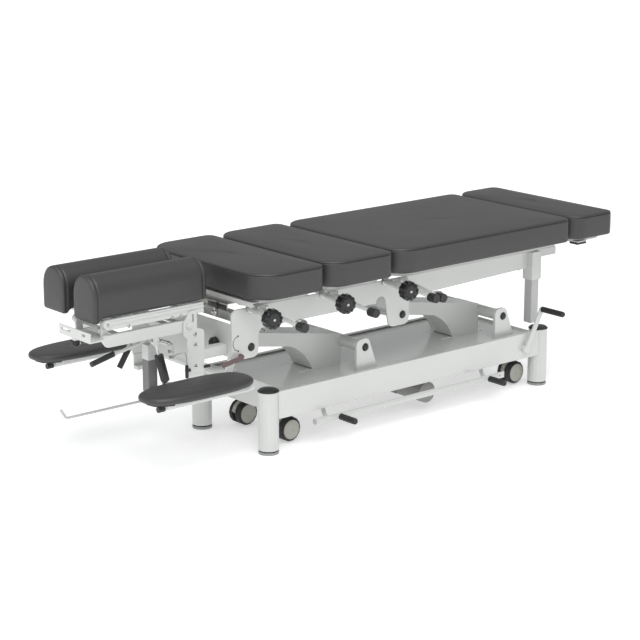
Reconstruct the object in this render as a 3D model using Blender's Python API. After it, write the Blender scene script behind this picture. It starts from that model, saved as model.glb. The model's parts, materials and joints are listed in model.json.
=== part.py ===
"""Chiropractic table with a parallelogram lift, drop sections and an adjustable headpiece.

Metres, +Z up.  The origin is on the floor under the middle of the whole length: the places
below are measured from a zero of their own, and piece() moves them all to that origin.
+X runs to the foot end, -X to the headpiece, and -Y is the side with the tension knobs.
"""
import math

import bmesh
import bpy
from mathutils import Matrix, Vector

# Fits and sheet
gap = 0.0003                    # kept between pieces that touch
overrun = 0.002                 # how far a cutter or a weld runs past a face
sheet = 0.003                   # folded sheet of the tray
plate = 0.006                   # side plates of the upper frame
coarse_radius = 0.030           # round pieces of this radius and up have the most facets

# Overall places
table_half = 0.997              # zero of the lengths to the foot end of the cushions
head_reach = 0.984              # zero of the lengths to the tip of the hooked rod
base_shift = 0.2                # the base stands this far towards the foot end

# Legs
leg_span = 1.1375
leg_spread = 0.33
leg_radius = 0.031
leg_tube_top = 0.1905
foot_pad = 0.008
foot_groove = 0.004
foot_groove_depth = 0.0035
cap_lip = 0.0015
cap_rise = 0.0085
cap_seam = 0.002

# Tray
tray_top = 0.190
skirt_depth = 0.084
skirt_overhang = 0.023          # outer face of the skirt beyond the leg centres
skirt_lip = 0.014
tray_setback = 0.045            # end walls inside the leg centres
skirt_run_in = 0.012            # the skirt starts this far inside the leg centre and is cut by it
rim_rise = 0.007
floor_line = 0.146              # half width between the joint lines of the floor
line_width = 0.0025
line_depth = 0.001

# Lift arms: box arms on two base pivots and two upper pivots
pivot_height = 0.2545
arm_length = 0.4468
arm_slope = math.radians(10)
arm_spacing = 0.594
first_pivot = 0.019             # base pivot of the head side arm
arm_half = 0.049
arm_sheet = 0.004
arm_above = 0.021
arm_below = 0.020
horn_start = 0.208
horn_at_floor = 0.121
horn_drop = 0.130
horn_back = 0.010
horn_eye = 0.014
horn_pin = 0.008
arm_end = 0.010
cross_tube = 0.018
pin_radius = 0.008
pin_cap = 0.013
pin_cap_rise = 0.006
pin_sides = 12
small_sides = 8                 # facets of the thin pins and their holes
slit_reach = 0.173
slit_past = 0.013
slit_play = 0.0015

# Lugs of the tray and ears of the upper frame
lug_middle = 0.150
lug_thickness = 0.010
lug_rise = 0.027
lug_head = 0.035
lug_foot = 0.050
lug_round = 0.018
ear_head = 0.071
ear_foot = 0.027
ear_drop = 0.032
ear_round = 0.020

# Upper frame
frame_top = 0.452
frame_web = 0.068
frame_foot_web = 0.053
frame_foot = 0.727
slide_cross_in = 0.037          # slotted crosses of the foot slide, from the frame's foot end
slide_cross_run = 0.150
slide_run_in = 0.010
slide_side = 0.060
slide_size = 0.025
second_ear_head = 0.070
notch_radius = 0.020
cross_width = 0.030
cross_height = 0.026
cross_top = 0.428
cross_sheet = 0.004
post_outer = 0.042
post_inner = 0.032
post_out = 0.0165                # middle of the post beyond the foot end of the plates
post_side = 0.154
post_bottom = 0.214
sleeve_bottom = 0.360

# Sections: boards and cushions
cushion_gap = 0.008
foot_cushion_length = 0.194
pelvic_cushion_length = 0.759
lumbar_cushion_length = 0.259
chest_cushion_length = 0.246
cushion_half = 0.280
cushion_bottom = 0.497
cushion_side = 0.072
cushion_crown = 0.010
head_corner = 0.075             # plan radius of the corners that face the head end
foot_corner = 0.028
board_corner = 0.035
cushion_draw = 0.002
cushion_edge = 0.004
seam_bead = 0.0012
board = 0.012
board_inset = 0.028
rail_height = 0.030
rail_width = 0.020
rail_side = 0.120
guide_radius = 0.008
guide_reach = 0.094
guide_in = 0.050                # guide pins from the ends of the short sections
pelvic_guide_in = 0.064
pelvic_guide_run = 0.380
chest_lip = 0.020               # bent plate at the head end of the chest section
lip_share = 0.82
drop = 0.020
latch_in = 0.037                # latch block under the foot section's board
latch_length = 0.042
latch_side_in = 0.018
latch_width = 0.035
latch_drop = 0.008

# Tension knobs and cocking levers
knob_radius = 0.030
knob_depth = 0.034
knob_out = 0.280
knob_height = 0.4455
knob_flutes = 12
flute_depth = 0.0022
spindle_radius = 0.009
spindle_skew = 0.018
spindle_dip = 0.0045
chest_knob_in = 0.205           # chest and lumbar knobs, from the foot end of their section
lumbar_knob_in = 0.197
pelvic_knob_in = 0.045          # pelvic knob, from the head end of its section
lever_from_knob = 0.048
lever_pivot_side = 0.163
lever_pivot_height = 0.447
lever_out = 0.290
chest_lever_run = 0.049         # how far each cap lies towards the foot end of its pivot
chest_lever_low = 0.408
lumbar_lever_run = 0.046
lumbar_lever_low = 0.407
pelvic_lever_run = 0.039
pelvic_lever_low = 0.413
lock_lever_run = 0.0358
lock_lever_low = 0.410
lever_width = 0.020
lever_thickness = 0.005
lever_lean = 0.3                # slope of the lever's width towards the caps
lever_cap = 0.014
lever_cap_length = 0.022
lever_eye = 0.008
lever_pin = 0.004

# Headpiece
head_side = 0.126               # middle of the head rails
head_rail_width = 0.016
tilt_x = -0.633
tilt_height = 0.428
tilt_pin = 0.006
tilt_rail_depth = 0.034
tilt_rail_head = -0.920          # near rails; the far ones start further in
far_rail_head = -0.850
drop_rail_bottom = 0.4595
drop_rail_depth = 0.029
drop_rail_foot = -0.576
drop_rail_rib = 0.0015
disc_x = -0.905
disc_height = 0.476
disc_radius = 0.013
head_bar_width = 0.030
slide_bar = 0.014
slide_shoe = 0.006
slide_shoe_half = 0.014
board_in = 0.012                # bolster boards inside the cushion's sides
side_plate_head = -0.640
side_plate_foot = -0.580
side_plate_bottom = 0.286
side_plate_top = 0.410
side_plate_sheet = 0.004
arc_head = -0.652
arc_foot = -0.605
arc_top = 0.471
web_bottom = 0.300
tie_height = 0.030
tie_side = 0.100
tie_bottom = 0.318
keel_bottom = 0.243
keel_height = 0.022
keel_head = -0.745
post_box = 0.030
post_box_top = 0.381
post_box_side = 0.080
spring_height = 0.265
spring_top_x = -0.745
spring_top_height = 0.398
spring_radius = 0.013
spring_rod = 0.004
spring_eye = 0.009
spring_pin = 0.004
spring_play = 0.0044
spring_offset = 0.0035
spring_sleeve = 0.080
spring_neck = 0.015
spring_wall = 0.005              # closed end of the sleeve
spring_depth = 0.0515            # inner end of the rod from the lower pin
bolster_head = -0.946
bolster_foot = -0.560
bolster_inner = 0.025
bolster_width = 0.106
bolster_bottom = 0.4945
bolster_height = 0.1165
bolster_lip = 0.018             # the cover hangs down over the head end of the board
bolster_lip_drop = 0.014
bolster_straight_share = 0.45
bolster_edge = 0.006
release_radius = 0.005
release_grip = 0.0085
release_bend = 0.018
release_hub = (-0.745, 0.421)
release_knee = (-0.785, 0.398)
release_grip_start = (-0.8705, 0.383)
release_tip = (-0.947, 0.3655)
release_side = 0.1105
drop_hub = (-0.805, 0.421)
drop_knee = (-0.808, 0.395)
drop_grip_start = (-0.812, 0.381)
drop_tip = (-0.843, 0.334)
drop_lever_side = 0.094
hub_half = 0.0065
clamp_x = -0.960
clamp_side = 0.050
clamp_height = 0.4175
clamp_stem = 0.004
clamp_hub = 0.006
clamp_screw = 0.004
clamp_thread = 0.003
clamp_nut = 0.008
clamp_bar = 0.003
clamp_neck = 0.014
clamp_grip = 0.059
clamp_grip_radius = 0.0065
clamp_reach = 0.012
yoke_sheet = 0.004
yoke_rise = 0.004               # underside of the yoke above the tilt axis
yoke_wall = 0.028
yoke_far_side = 0.020
yoke_slot = 0.007               # slots in the yoke's front wall, from side to side
slot_round = 0.003
yoke_slots = ((-0.112, -0.092), (-0.038, 0.008))
yoke_ear = 0.0055
yoke_ear_side = 0.006
yoke_ear_half = 0.011

# Armrests
rest_middle = -0.715
rest_side = 0.283
rest_length = 0.362
rest_width = 0.152
rest_top = 0.305
rest_thickness = 0.022
rest_board = 0.006
rest_power = 2.8
rest_tube = 0.0075
rest_tube_height = 0.256
rest_tube_head = -0.837
rest_hinge_x = -0.500
rest_sleeve = 0.014
rest_sleeve_half = 0.195
rest_engage = 0.120
rest_clip = 0.030
rest_bend = 0.035
grip_in = 0.030
grip_up = 0.012
grip_out = 0.016
grip_length = 0.075
grip_fall = 0.012
grip_bend = 0.012
grip_radius = 0.0075

# Casters
caster_x = -0.255
caster_far_x = 0.705
caster_side = 0.105
caster_radius = 0.038
caster_float = 0.003
caster_wheel = 0.020
wheel_sides = 14
tread_round = 0.005
caster_gap = 0.016
caster_trail = 0.018
caster_stem = 0.007
caster_fork = 0.013
carriage_bottom = 0.112
carriage_height = 0.016
carriage_width = 0.034
carriage_half = 0.145
caster_lift = 0.012

# Foot bar, caster lever and hooked rod
bar_side = 0.200
bar_height = 0.0745
bar_radius = 0.0105
bar_head = -0.219
bar_foot = 0.547
bar_pivot_side = 0.150
bar_pivot_height = 0.118
bar_flat = 0.030
bracket_out = 0.020
bracket_bend = 0.015
bracket_radius = 0.0065
peg_radius = 0.0105
peg_length = 0.078
peg_head_x = -0.125
peg_foot_x = 0.505
lock_x = 0.680
lock_height = 0.140
lock_bar_top_x = 0.745
lock_bar_top = 0.265
lock_bar = 0.018
lock_thickness = 0.005
lock_stand = 0.0110
lock_grip = 0.010
lock_grip_length = 0.098
rod_radius = 0.004
rod_height = 0.188
rod_pivot_x = -0.520
rod_pivot_height = 0.230
rod_hub_half = 0.010
rod_fall = 0.075
rod_hook = 0.020
rod_hook_rise = 0.027
rod_bend = 0.012

# Lift actuator
motor_x = 0.285
motor_height = 0.058
tube_length = 0.260
motor_radius = 0.034
motor_inner = 0.030
motor_outer = 0.150
actuator_back_x = 0.360
actuator_back_height = 0.100
actuator_tube = 0.018
actuator_rod = 0.010
actuator_eye = 0.021
actuator_play = 0.0048
actuator_sink = 0.0035

table = {}


def clear_scene():
    for old in list(bpy.data.objects):
        bpy.data.objects.remove(old, do_unlink=True)


finishes = {
    "white": ((0.80, 0.80, 0.79), 0.30, 0.0),
    "black": ((0.02, 0.02, 0.022), 0.42, 0.0),
    "hide": ((0.055, 0.055, 0.058), 0.50, 0.0),
    "steel": ((0.62, 0.62, 0.63), 0.28, 1.0),
    "grey": ((0.40, 0.40, 0.40), 0.45, 0.0),
    "beige": ((0.55, 0.53, 0.48), 0.50, 0.0),
    "mauve": ((0.20, 0.13, 0.13), 0.55, 0.0),
}


def finish(name, kind):
    colour, roughness, metallic = finishes[kind]
    material = bpy.data.materials.new(name)
    material.use_nodes = True
    shader = material.node_tree.nodes["Principled BSDF"]
    shader.inputs["Base Color"].default_value = (*colour, 1.0)
    shader.inputs["Roughness"].default_value = roughness
    shader.inputs["Metallic"].default_value = metallic
    material.diffuse_color = (*colour, 1.0)
    return material


# Shapes: each function gives a mesh in world coordinates

def meshed(form):
    bmesh.ops.recalc_face_normals(form, faces=form.faces)
    mesh = bpy.data.meshes.new("shape")
    form.to_mesh(mesh)
    form.free()
    return mesh


def on_axis(axis, first, second, along):
    if axis == "x":
        return Vector((along, first, second))
    if axis == "y":
        return Vector((first, along, second))
    return Vector((first, second, along))


def extruded(outline, axis, start, end):
    """A flat outline pushed along an axis: (y, z), (x, z) or (x, y) points."""
    form = bmesh.new()
    face = form.faces.new([form.verts.new(on_axis(axis, a, b, start)) for a, b in outline])
    pushed = bmesh.ops.extrude_face_region(form, geom=[face])["geom"]
    corners = [item for item in pushed if isinstance(item, bmesh.types.BMVert)]
    bmesh.ops.translate(form, vec=on_axis(axis, 0, 0, end - start), verts=corners)
    return meshed(form)


def box(low, high):
    (x0, y0, z0), (x1, y1, z1) = low, high
    return extruded([(x0, y0), (x1, y0), (x1, y1), (x0, y1)], "z", z0, z1)


def filleted(corners, steps=3):
    """Corner points (a, b) or (a, b, radius), each radius turned into an arc."""
    points = []
    for index, corner in enumerate(corners):
        here = Vector(corner[:2])
        if len(corner) < 3:
            points.append(tuple(here))
            continue
        back = (Vector(corners[index - 1][:2]) - here).normalized()
        ahead = (Vector(corners[(index + 1) % len(corners)][:2]) - here).normalized()
        half = back.angle(ahead) / 2
        middle = here + (back + ahead).normalized() * corner[2] / math.sin(half)
        start = here + back * corner[2] / math.tan(half) - middle
        end = here + ahead * corner[2] / math.tan(half) - middle
        turn = math.atan2(start.x * end.y - start.y * end.x, start.dot(end))
        for step in range(steps + 1):
            angle = turn * step / steps
            points.append((middle.x + start.x * math.cos(angle) - start.y * math.sin(angle),
                           middle.y + start.x * math.sin(angle) + start.y * math.cos(angle)))
    return points


def arc(centre, radius, start, end, steps=8):
    """Points of a circular arc, angles in degrees from the first axis to the second."""
    turns = [math.radians(start + (end - start) * step / steps) for step in range(steps + 1)]
    return [(centre[0] + radius * math.cos(turn), centre[1] + radius * math.sin(turn))
            for turn in turns]


def curve(start, pull, end, steps=6):
    """Points of a quadratic curve between two points."""
    points = []
    for step in range(steps + 1):
        share = step / steps
        points.append(tuple((1 - share) ** 2 * a + 2 * share * (1 - share) * b + share ** 2 * c
                            for a, b, c in zip(start, pull, end)))
    return points


def sides_of(radius):
    """Facets of a round piece: fewer on a thin one, even counts only."""
    return 6 + 2 * int(min(radius, coarse_radius) / coarse_radius * 5 + 0.1)


def turned(profile, centre, axis, sides=0):
    """A profile of (radius, distance along the axis) spun round that axis."""
    sides = sides or sides_of(max(radius for radius, along in profile))
    form = bmesh.new()
    corners = [form.verts.new((radius, 0, along)) for radius, along in profile]
    edges = [form.edges.new(pair) for pair in zip(corners, corners[1:])]
    bmesh.ops.spin(form, geom=corners + edges, axis=(0, 0, 1), cent=(0, 0, 0), dvec=(0, 0, 0),
                   angle=math.tau, steps=sides, use_merge=True)
    bmesh.ops.remove_doubles(form, verts=form.verts, dist=0.00001)
    turn = Vector((0, 0, 1)).rotation_difference(Vector(axis))
    bmesh.ops.rotate(form, verts=form.verts, cent=(0, 0, 0), matrix=turn.to_matrix())
    bmesh.ops.translate(form, verts=form.verts, vec=centre)
    return meshed(form)


def rod(start, end, radius, sides=0):
    """A round bar between two points."""
    start, end = sorted((Vector(start), Vector(end)), key=lambda point: point.z)
    length = (end - start).length
    return turned([(0, 0), (radius, 0), (radius, length), (0, length)], start, end - start, sides)


def bore(start, end, radius, sides):
    """The hole for a bar of this radius, wide enough for the bar's corners to turn in it."""
    return rod(start, end, (radius + gap) / math.cos(math.pi / sides), sides)


def lofted(rings):
    """Skin over rings of points that correspond, closed at both ends."""
    form = bmesh.new()
    rows = [[form.verts.new(point) for point in ring] for ring in rings]
    for low, high in zip(rows, rows[1:]):
        for index in range(len(low)):
            ahead = (index + 1) % len(low)
            form.faces.new((low[index], low[ahead], high[ahead], high[index]))
    form.faces.new(rows[0])
    form.faces.new(rows[-1])
    return meshed(form)


def swept(path, radius, sides=0):
    """A round bar along a path of points, square at both ends."""
    sides = sides or sides_of(radius)
    path = [Vector(point) for point in path]
    rings = []
    side = None
    for index, point in enumerate(path):
        before = path[max(index - 1, 0)]
        after = path[min(index + 1, len(path) - 1)]
        along = (after - before).normalized()
        if side is None:
            side = along.orthogonal().normalized()
        side = (side - along * side.dot(along)).normalized()
        other = along.cross(side)
        rings.append([point + (side * math.cos(turn) + other * math.sin(turn)) * radius
                      for turn in (math.tau * step / sides for step in range(sides))])
    return lofted(rings)


def bent(corners, radius, steps=3):
    """A path of straight runs joined by arcs of one radius, in space."""
    points = [Vector(corners[0])]
    for before, here, after in zip(corners, corners[1:], corners[2:]):
        before, here, after = Vector(before), Vector(here), Vector(after)
        back, ahead = (before - here).normalized(), (after - here).normalized()
        half = back.angle(ahead) / 2
        start = here + back * radius / math.tan(half)
        end = here + ahead * radius / math.tan(half)
        middle = here + (back + ahead).normalized() * radius / math.sin(half)
        for step in range(steps + 1):
            share = step / steps
            spoke = (start - middle).normalized().slerp((end - middle).normalized(), share)
            points.append(middle + spoke * radius)
    points.append(Vector(corners[-1]))
    return points


def bar(start, end, width, thickness, across):
    """A flat bar with square ends between two points; across is its width direction."""
    start, end, across = Vector(start), Vector(end), Vector(across)
    along = (end - start).normalized()
    across = (across - along * across.dot(along)).normalized() * width / 2
    face = along.cross(across).normalized() * thickness / 2
    return lofted([[point + across + face, point - across + face, point - across - face,
                    point + across - face] for point in (start, end)])


# Pieces: one object each, welded and cut by Boolean modifiers, placed on its pivot

def guides(name, owner, shapes, pivot):
    group = bpy.data.collections.new(name)
    bpy.context.scene.collection.children.link(group)
    for index, shape in enumerate(shapes):
        shape.transform(shift(pivot))
        guide = bpy.data.objects.new(f"{name}.{index:02d}", shape)
        guide.parent = owner
        guide.hide_render = True
        guide.display_type = "WIRE"
        group.objects.link(guide)
    return group


def shift(pivot):
    return Matrix.Translation(-Vector(pivot))


def piece(name, kind, shapes, pivot=(0, 0, 0), holder=None, cuts=(), then=(), crease=35):
    first, *welds = shapes
    first.transform(shift(pivot))
    first.name = name
    body = bpy.data.objects.new(name, first)
    bpy.context.scene.collection.objects.link(body)
    carrier = table.get(holder)
    body.location = Vector(pivot) - (carrier["pivot"] if carrier else middle_of_length)
    if carrier:
        body.parent = carrier["body"]
    table[name] = {"body": body, "pivot": Vector(pivot)}
    first.materials.append(finish(name, kind))
    first.shade_smooth()
    first.set_sharp_from_angle(angle=math.radians(crease))
    for step, (operation, parts) in enumerate([("UNION", welds), ("DIFFERENCE", cuts), *then]):
        if parts:
            change = body.modifiers.new(f"{operation.title()} {step}", "BOOLEAN")
            change.operation = operation
            change.operand_type = "COLLECTION"
            change.solver = "EXACT"
            change.collection = guides(f"{name}.{step}", body, parts, pivot)
    return body


clear_scene()

# Places worked out from the sizes above
middle_of_length = Vector(((table_half - head_reach) / 2, 0, 0))
leg_side = leg_spread / 2
leg_head_x = base_shift - leg_span / 2
leg_foot_x = base_shift + leg_span / 2
tray_half = leg_side + skirt_overhang
floor_top = tray_top - rim_rise
tray_head = leg_head_x + tray_setback
tray_foot = leg_foot_x - tray_setback
skirt_bottom = tray_top - skirt_depth
pivots_low = [first_pivot, first_pivot + arm_spacing]
arm_run = arm_length * math.cos(arm_slope)
upper_height = pivot_height + arm_length * math.sin(arm_slope)
pivots_high = [x - arm_run for x in pivots_low]
lug_inner = lug_middle - lug_thickness / 2
lug_outer = lug_middle + lug_thickness / 2
frame_inner = lug_middle - plate / 2
frame_outer = lug_middle + plate / 2
frame_bottom = frame_top - frame_web
frame_head = pivots_high[0] - ear_head
pelvic_foot = table_half - foot_cushion_length - cushion_gap
lumbar_foot = pelvic_foot - pelvic_cushion_length - cushion_gap
chest_foot = lumbar_foot - lumbar_cushion_length - cushion_gap
chest_head = chest_foot - chest_cushion_length
board_top = cushion_bottom - gap
board_bottom = board_top - board

# Base: folded tray with its lugs, four legs
stem_xs = [caster_x + caster_trail, caster_far_x - caster_trail]


def lug(x, side):
    corners = filleted([(x - lug_head, floor_top - sheet / 2),
                        (x - lug_head, pivot_height + lug_rise, lug_round),
                        (x + lug_rise / 2, pivot_height + lug_rise, lug_round),
                        (x + lug_foot, floor_top - sheet / 2)])
    inner, outer = sorted((side * lug_inner, side * lug_outer))
    return extruded(corners, "y", inner, outer)


tray_welds = []
for side in (-1, 1):
    out, inside, lip = side * tray_half, side * (tray_half - sheet), side * (tray_half - skirt_lip)
    tray_welds.append(extruded([(out, skirt_bottom), (out, tray_top), (lip, tray_top),
                                (lip, tray_top - sheet), (inside, tray_top - sheet),
                                (inside, skirt_bottom + sheet), (lip, skirt_bottom + sheet),
                                (lip, skirt_bottom)], "x",
                               leg_head_x + skirt_run_in, leg_foot_x - skirt_run_in))
    for x in pivots_low:
        tray_welds.append(lug(x, side))
for x in (tray_head, tray_foot - sheet):
    tray_welds.append(box((x, -tray_half + sheet / 2, skirt_bottom),
                          (x + sheet, tray_half - sheet / 2, tray_top)))
guide_tube = caster_fork
for x in stem_xs:
    for side in (-1, 1):
        tray_welds.append(rod((x, side * caster_side / 2, floor_top - sheet / 2),
                              (x, side * caster_side / 2, skirt_bottom + carriage_height * 2.2),
                              guide_tube))
bracket_half = actuator_tube + gap
for side in (-1, 1):
    inner, outer = sorted((side * bracket_half, side * (bracket_half + arm_sheet)))
    tray_welds.append(extruded(filleted([
        (actuator_back_x - lug_head, floor_top - sheet / 2),
        (actuator_back_x - pin_cap, actuator_back_height - pin_cap, horn_pin),
        (actuator_back_x + pin_cap, actuator_back_height - pin_cap, horn_pin),
        (actuator_back_x + lug_head, floor_top - sheet / 2)]), "y", inner, outer))
for x in (bar_head + lug_foot, bar_foot - lug_foot):
    tray_welds.append(box((x - arm_end, -bar_pivot_side - lug_thickness,
                           bar_pivot_height - lug_thickness),
                          (x - arm_end + arm_sheet, -bar_pivot_side + lug_thickness,
                           floor_top - sheet / 2)))
tray_cuts = []
for x in (leg_head_x, leg_foot_x):
    for side in (-1, 1):
        tray_cuts.append(turned([(0, foot_pad), (leg_radius + gap, foot_pad),
                                 (leg_radius + gap, tray_top + overrun), (0, tray_top + overrun)],
                                (x, side * leg_side, 0), (0, 0, 1)))
for x in pivots_low:
    tray_cuts.append(bore((x, -lug_outer - overrun, pivot_height),
                          (x, lug_outer + overrun, pivot_height), pin_radius, pin_sides))
    for side in (-1, 1):
        inner, outer = sorted((side * (arm_half + slit_play),
                               side * (arm_half - arm_sheet - slit_play)))
        tray_cuts.append(box((x - slit_reach, inner, floor_top - sheet - overrun),
                             (x + slit_past, outer, floor_top + overrun)))
for side in (-1, 1):
    low, high = sorted((side * floor_line, side * (floor_line - line_width)))
    tray_cuts.append(box((tray_head + sheet + overrun, low, floor_top - line_depth),
                         (tray_foot - sheet - overrun, high, floor_top + overrun)))
lock_shaft = pin_radius
tray_cuts.append(bore((lock_x, -tray_half - overrun, lock_height),
                      (lock_x, -tray_half + sheet + overrun, lock_height), lock_shaft, pin_sides))
tray_cuts.append(bore((actuator_back_x, -bracket_half - arm_sheet - overrun,
                       actuator_back_height),
                      (actuator_back_x, bracket_half + arm_sheet + overrun,
                       actuator_back_height), horn_pin, pin_sides))
tray_cuts.append(bore((bar_head, -bar_pivot_side, bar_pivot_height),
                      (bar_foot, -bar_pivot_side, bar_pivot_height), lever_pin, small_sides))
for x in stem_xs:
    for side in (-1, 1):
        tray_cuts.append(rod((x, side * caster_side / 2, skirt_bottom),
                             (x, side * caster_side / 2, floor_top - sheet), caster_stem + gap))
piece("base_tray", "white",
      [box((tray_head, -tray_half + sheet / 2, floor_top - sheet),
           (tray_foot, tray_half - sheet / 2, floor_top))] + tray_welds, cuts=tray_cuts)

for end, x in (("head", leg_head_x), ("foot", leg_foot_x)):
    for name, side in (("near", -1), ("far", 1)):
        place = (x, side * leg_side, 0)
        neck = leg_radius - foot_groove_depth
        tube = foot_pad + foot_groove
        seam = leg_tube_top + gap
        rim = leg_radius + cap_lip
        dome = [(rim * math.cos(turn), seam + cap_seam + cap_rise * math.sin(turn))
                for turn in (math.radians(step * 35) for step in range(3))]
        piece(f"leg_{name}_{end}", "white",
              [turned([(0, 0), (leg_radius, 0), (leg_radius, foot_pad), (neck, foot_pad),
                       (neck, tube), (leg_radius, tube), (leg_radius, leg_tube_top),
                       (neck, leg_tube_top), (neck, seam), (rim, seam)] + dome
                      + [(0, seam + cap_seam + cap_rise)], place, (0, 0, 1))],
              pivot=place, holder="base_tray")


# Lift arms and their pivot pins
def along_arm(run, rise):
    """A point of an arm in the base pivot's own frame, by distance along and above its axis."""
    return (-run * math.cos(arm_slope) + rise * math.sin(arm_slope),
            run * math.sin(arm_slope) + rise * math.cos(arm_slope))


to_floor = pivot_height - floor_top
horn_top = along_arm(horn_start, -arm_below)
horn_mid = (-horn_at_floor, -to_floor)
horn_tip = (-horn_back, -horn_drop)
turn_end = 180 + math.degrees(arm_slope)
upper_end = [along_arm(arm_length + arm_above * math.sin(math.radians(step)),
                       arm_above * math.cos(math.radians(step))) for step in range(0, 181, 30)]
horn_upper = curve(horn_top, (-horn_start * 0.72, -to_floor * 0.12), horn_mid, 5)
horn_lower = curve(horn_mid, (-horn_at_floor * 0.77, -to_floor * 1.42),
                   (horn_tip[0] - horn_eye * 0.5, horn_tip[1] - horn_eye * 0.866), 5)
arm_outline = ([(-arm_end, horn_tip[1] + horn_eye * 2), along_arm(arm_end, arm_above)] + upper_end
               + horn_upper + horn_lower[1:] + arc(horn_tip, horn_eye, 270, 360, 3)[1:]
               + arc(horn_tip, horn_eye, 0, 40, 2)[1:])


def drawn_in(points, depth):
    """The outline of the hollow inside: each point moved in by the sheet's thickness."""
    inner = []
    for index, point in enumerate(points):
        before, after = Vector(points[index - 1]), Vector(points[(index + 1) % len(points)])
        back, ahead = (Vector(point) - before).normalized(), (after - Vector(point)).normalized()
        normal = Vector((-(back.y + ahead.y), back.x + ahead.x)).normalized()
        inner.append(tuple(Vector(point) + normal * depth))
    return inner


def moved(points, x, z):
    return [(a + x, b + z) for a, b in points]


for index, x in enumerate(pivots_low):
    name = ("lift_arm_head", "lift_arm_foot")[index]
    hollow = arm_half - arm_sheet
    outline = moved(arm_outline, x, pivot_height)
    below = box((x - horn_start, -hollow, pivot_height - horn_drop - horn_eye - overrun),
                (x + lug_foot, hollow, floor_top + sheet))
    high = (x - arm_run, upper_height)
    tubes = [rod((px, -end, pz), (px, end, pz), cross_tube)
             for px, pz, end in ((x, pivot_height, lug_inner - gap), (*high, frame_inner - gap))]
    tip = (x + horn_tip[0], pivot_height + horn_tip[1])
    tubes.append(rod((tip[0], -hollow - overrun, tip[1]), (tip[0], hollow + overrun, tip[1]),
                     horn_pin))
    bores = [bore((px, -lug_outer, pz), (px, lug_outer, pz), pin_radius, pin_sides)
             for px, pz in ((x, pivot_height), high)]
    piece(name, "white", [extruded(outline, "y", -arm_half, arm_half)],
          pivot=(x, 0, pivot_height), holder="base_tray",
          cuts=[extruded(drawn_in(outline, arm_sheet), "y", -hollow, hollow), below],
          then=[("UNION", tubes), ("DIFFERENCE", bores)])


def pin(name, x, z, half, holder):
    """A pivot pin across the table with a domed cap on each end."""
    cap = half + gap
    shape = [(0, -cap - pin_cap_rise), (pin_cap * 0.7, -cap - pin_cap_rise * 0.8),
             (pin_cap, -cap), (pin_radius, -cap)]
    shape += [(radius, -along) for radius, along in reversed(shape)]
    piece(name, "black", [turned(shape, (x, 0, z), (0, 1, 0), pin_sides)], pivot=(x, 0, z),
          holder=holder)


pin("base_pin_head", pivots_low[0], pivot_height, lug_outer, "base_tray")
pin("base_pin_foot", pivots_low[1], pivot_height, lug_outer, "base_tray")

# Upper frame: two side plates with ears, cross channels, spindle tubes, armrest sleeve
pelvic_head = lumbar_foot + cushion_gap
knobs = {"chest": chest_foot - chest_knob_in, "lumbar": lumbar_foot - lumbar_knob_in,
         "pelvic": pelvic_head + pelvic_knob_in}
lever_half = lever_width * 0.75
lever_pitch = 2 * (lever_half + gap) + sheet


def lever_ends(x, run, low):
    return ((x, -lever_pivot_side, lever_pivot_height), (x + run, -lever_out, low))


levers = {"chest": lever_ends(knobs["chest"] + lever_from_knob, chest_lever_run, chest_lever_low),
          "lumbar": lever_ends(knobs["lumbar"] + lever_from_knob, lumbar_lever_run,
                               lumbar_lever_low),
          "pelvic": lever_ends(knobs["pelvic"] + lever_from_knob, pelvic_lever_run,
                               pelvic_lever_low),
          "pelvic_lock": lever_ends(knobs["pelvic"] + lever_from_knob + lever_pitch,
                                    lock_lever_run, lock_lever_low)}
guides_at = {"chest": (chest_head + guide_in, chest_foot - guide_in),
             "lumbar": (chest_foot + cushion_gap + guide_in, lumbar_foot - guide_in),
             "pelvic": (pelvic_head + pelvic_guide_in,
                        pelvic_head + pelvic_guide_in + pelvic_guide_run)}
slide_cross = frame_foot - slide_cross_in
cross_bottom = cross_top - cross_height
ear_bottom = upper_height - ear_drop
frame_web_foot = frame_top - frame_foot_web
second_ear = pivots_high[1]


def frame_plate(side):
    inner, outer = sorted((side * frame_inner, side * frame_outer))
    foot_x = pivots_high[0] + ear_foot
    notch = second_ear - second_ear_head - notch_radius
    corners = [(frame_head, frame_top, ear_round), (frame_head, ear_bottom, ear_round),
               (foot_x, ear_bottom, ear_round), (foot_x, frame_bottom, ear_round)]
    corners += arc((notch, frame_bottom), notch_radius, 180, 0, 6)
    corners += [(second_ear - second_ear_head * 0.8, ear_bottom, ear_round),
                (second_ear + ear_foot, ear_bottom, ear_round),
                (second_ear + ear_foot, frame_bottom, ear_round),
                (frame_foot, frame_web_foot), (frame_foot, frame_top)]
    outline = filleted(corners)
    return extruded(outline, "y", inner, outer)


frame_welds = [frame_plate(1)]
frame_cuts = []
weld = plate / 2
for section, places in guides_at.items():
    for x in places:
        frame_welds.append(extruded([
            (x - cross_width / 2, cross_bottom), (x - cross_width / 2, cross_top),
            (x + cross_width / 2, cross_top), (x + cross_width / 2, cross_bottom),
            (x + cross_width / 2 - cross_sheet, cross_bottom),
            (x + cross_width / 2 - cross_sheet, cross_top - cross_sheet),
            (x - cross_width / 2 + cross_sheet, cross_top - cross_sheet),
            (x - cross_width / 2 + cross_sheet, cross_bottom)], "y",
            -frame_inner - weld, frame_inner + weld))
        frame_cuts.append(rod((x, 0, cross_bottom), (x, 0, cross_top + overrun),
                              guide_radius + gap))
slide_top = cross_top - cross_sheet / 2
slide_low = slide_top - slide_size
for x in (slide_cross, slide_cross - slide_cross_run):
    frame_welds.append(box((x - cross_sheet, -frame_inner - weld, cross_bottom - cross_sheet * 2),
                           (x + cross_sheet, frame_inner + weld, cross_top + cross_sheet)))
    for side in (-1, 1):
        frame_cuts.append(box((x - cross_width, side * slide_side - slide_size / 2 - gap,
                               slide_low - gap),
                              (x + cross_width, side * slide_side + slide_size / 2 + gap,
                               slide_top + gap)))
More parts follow.
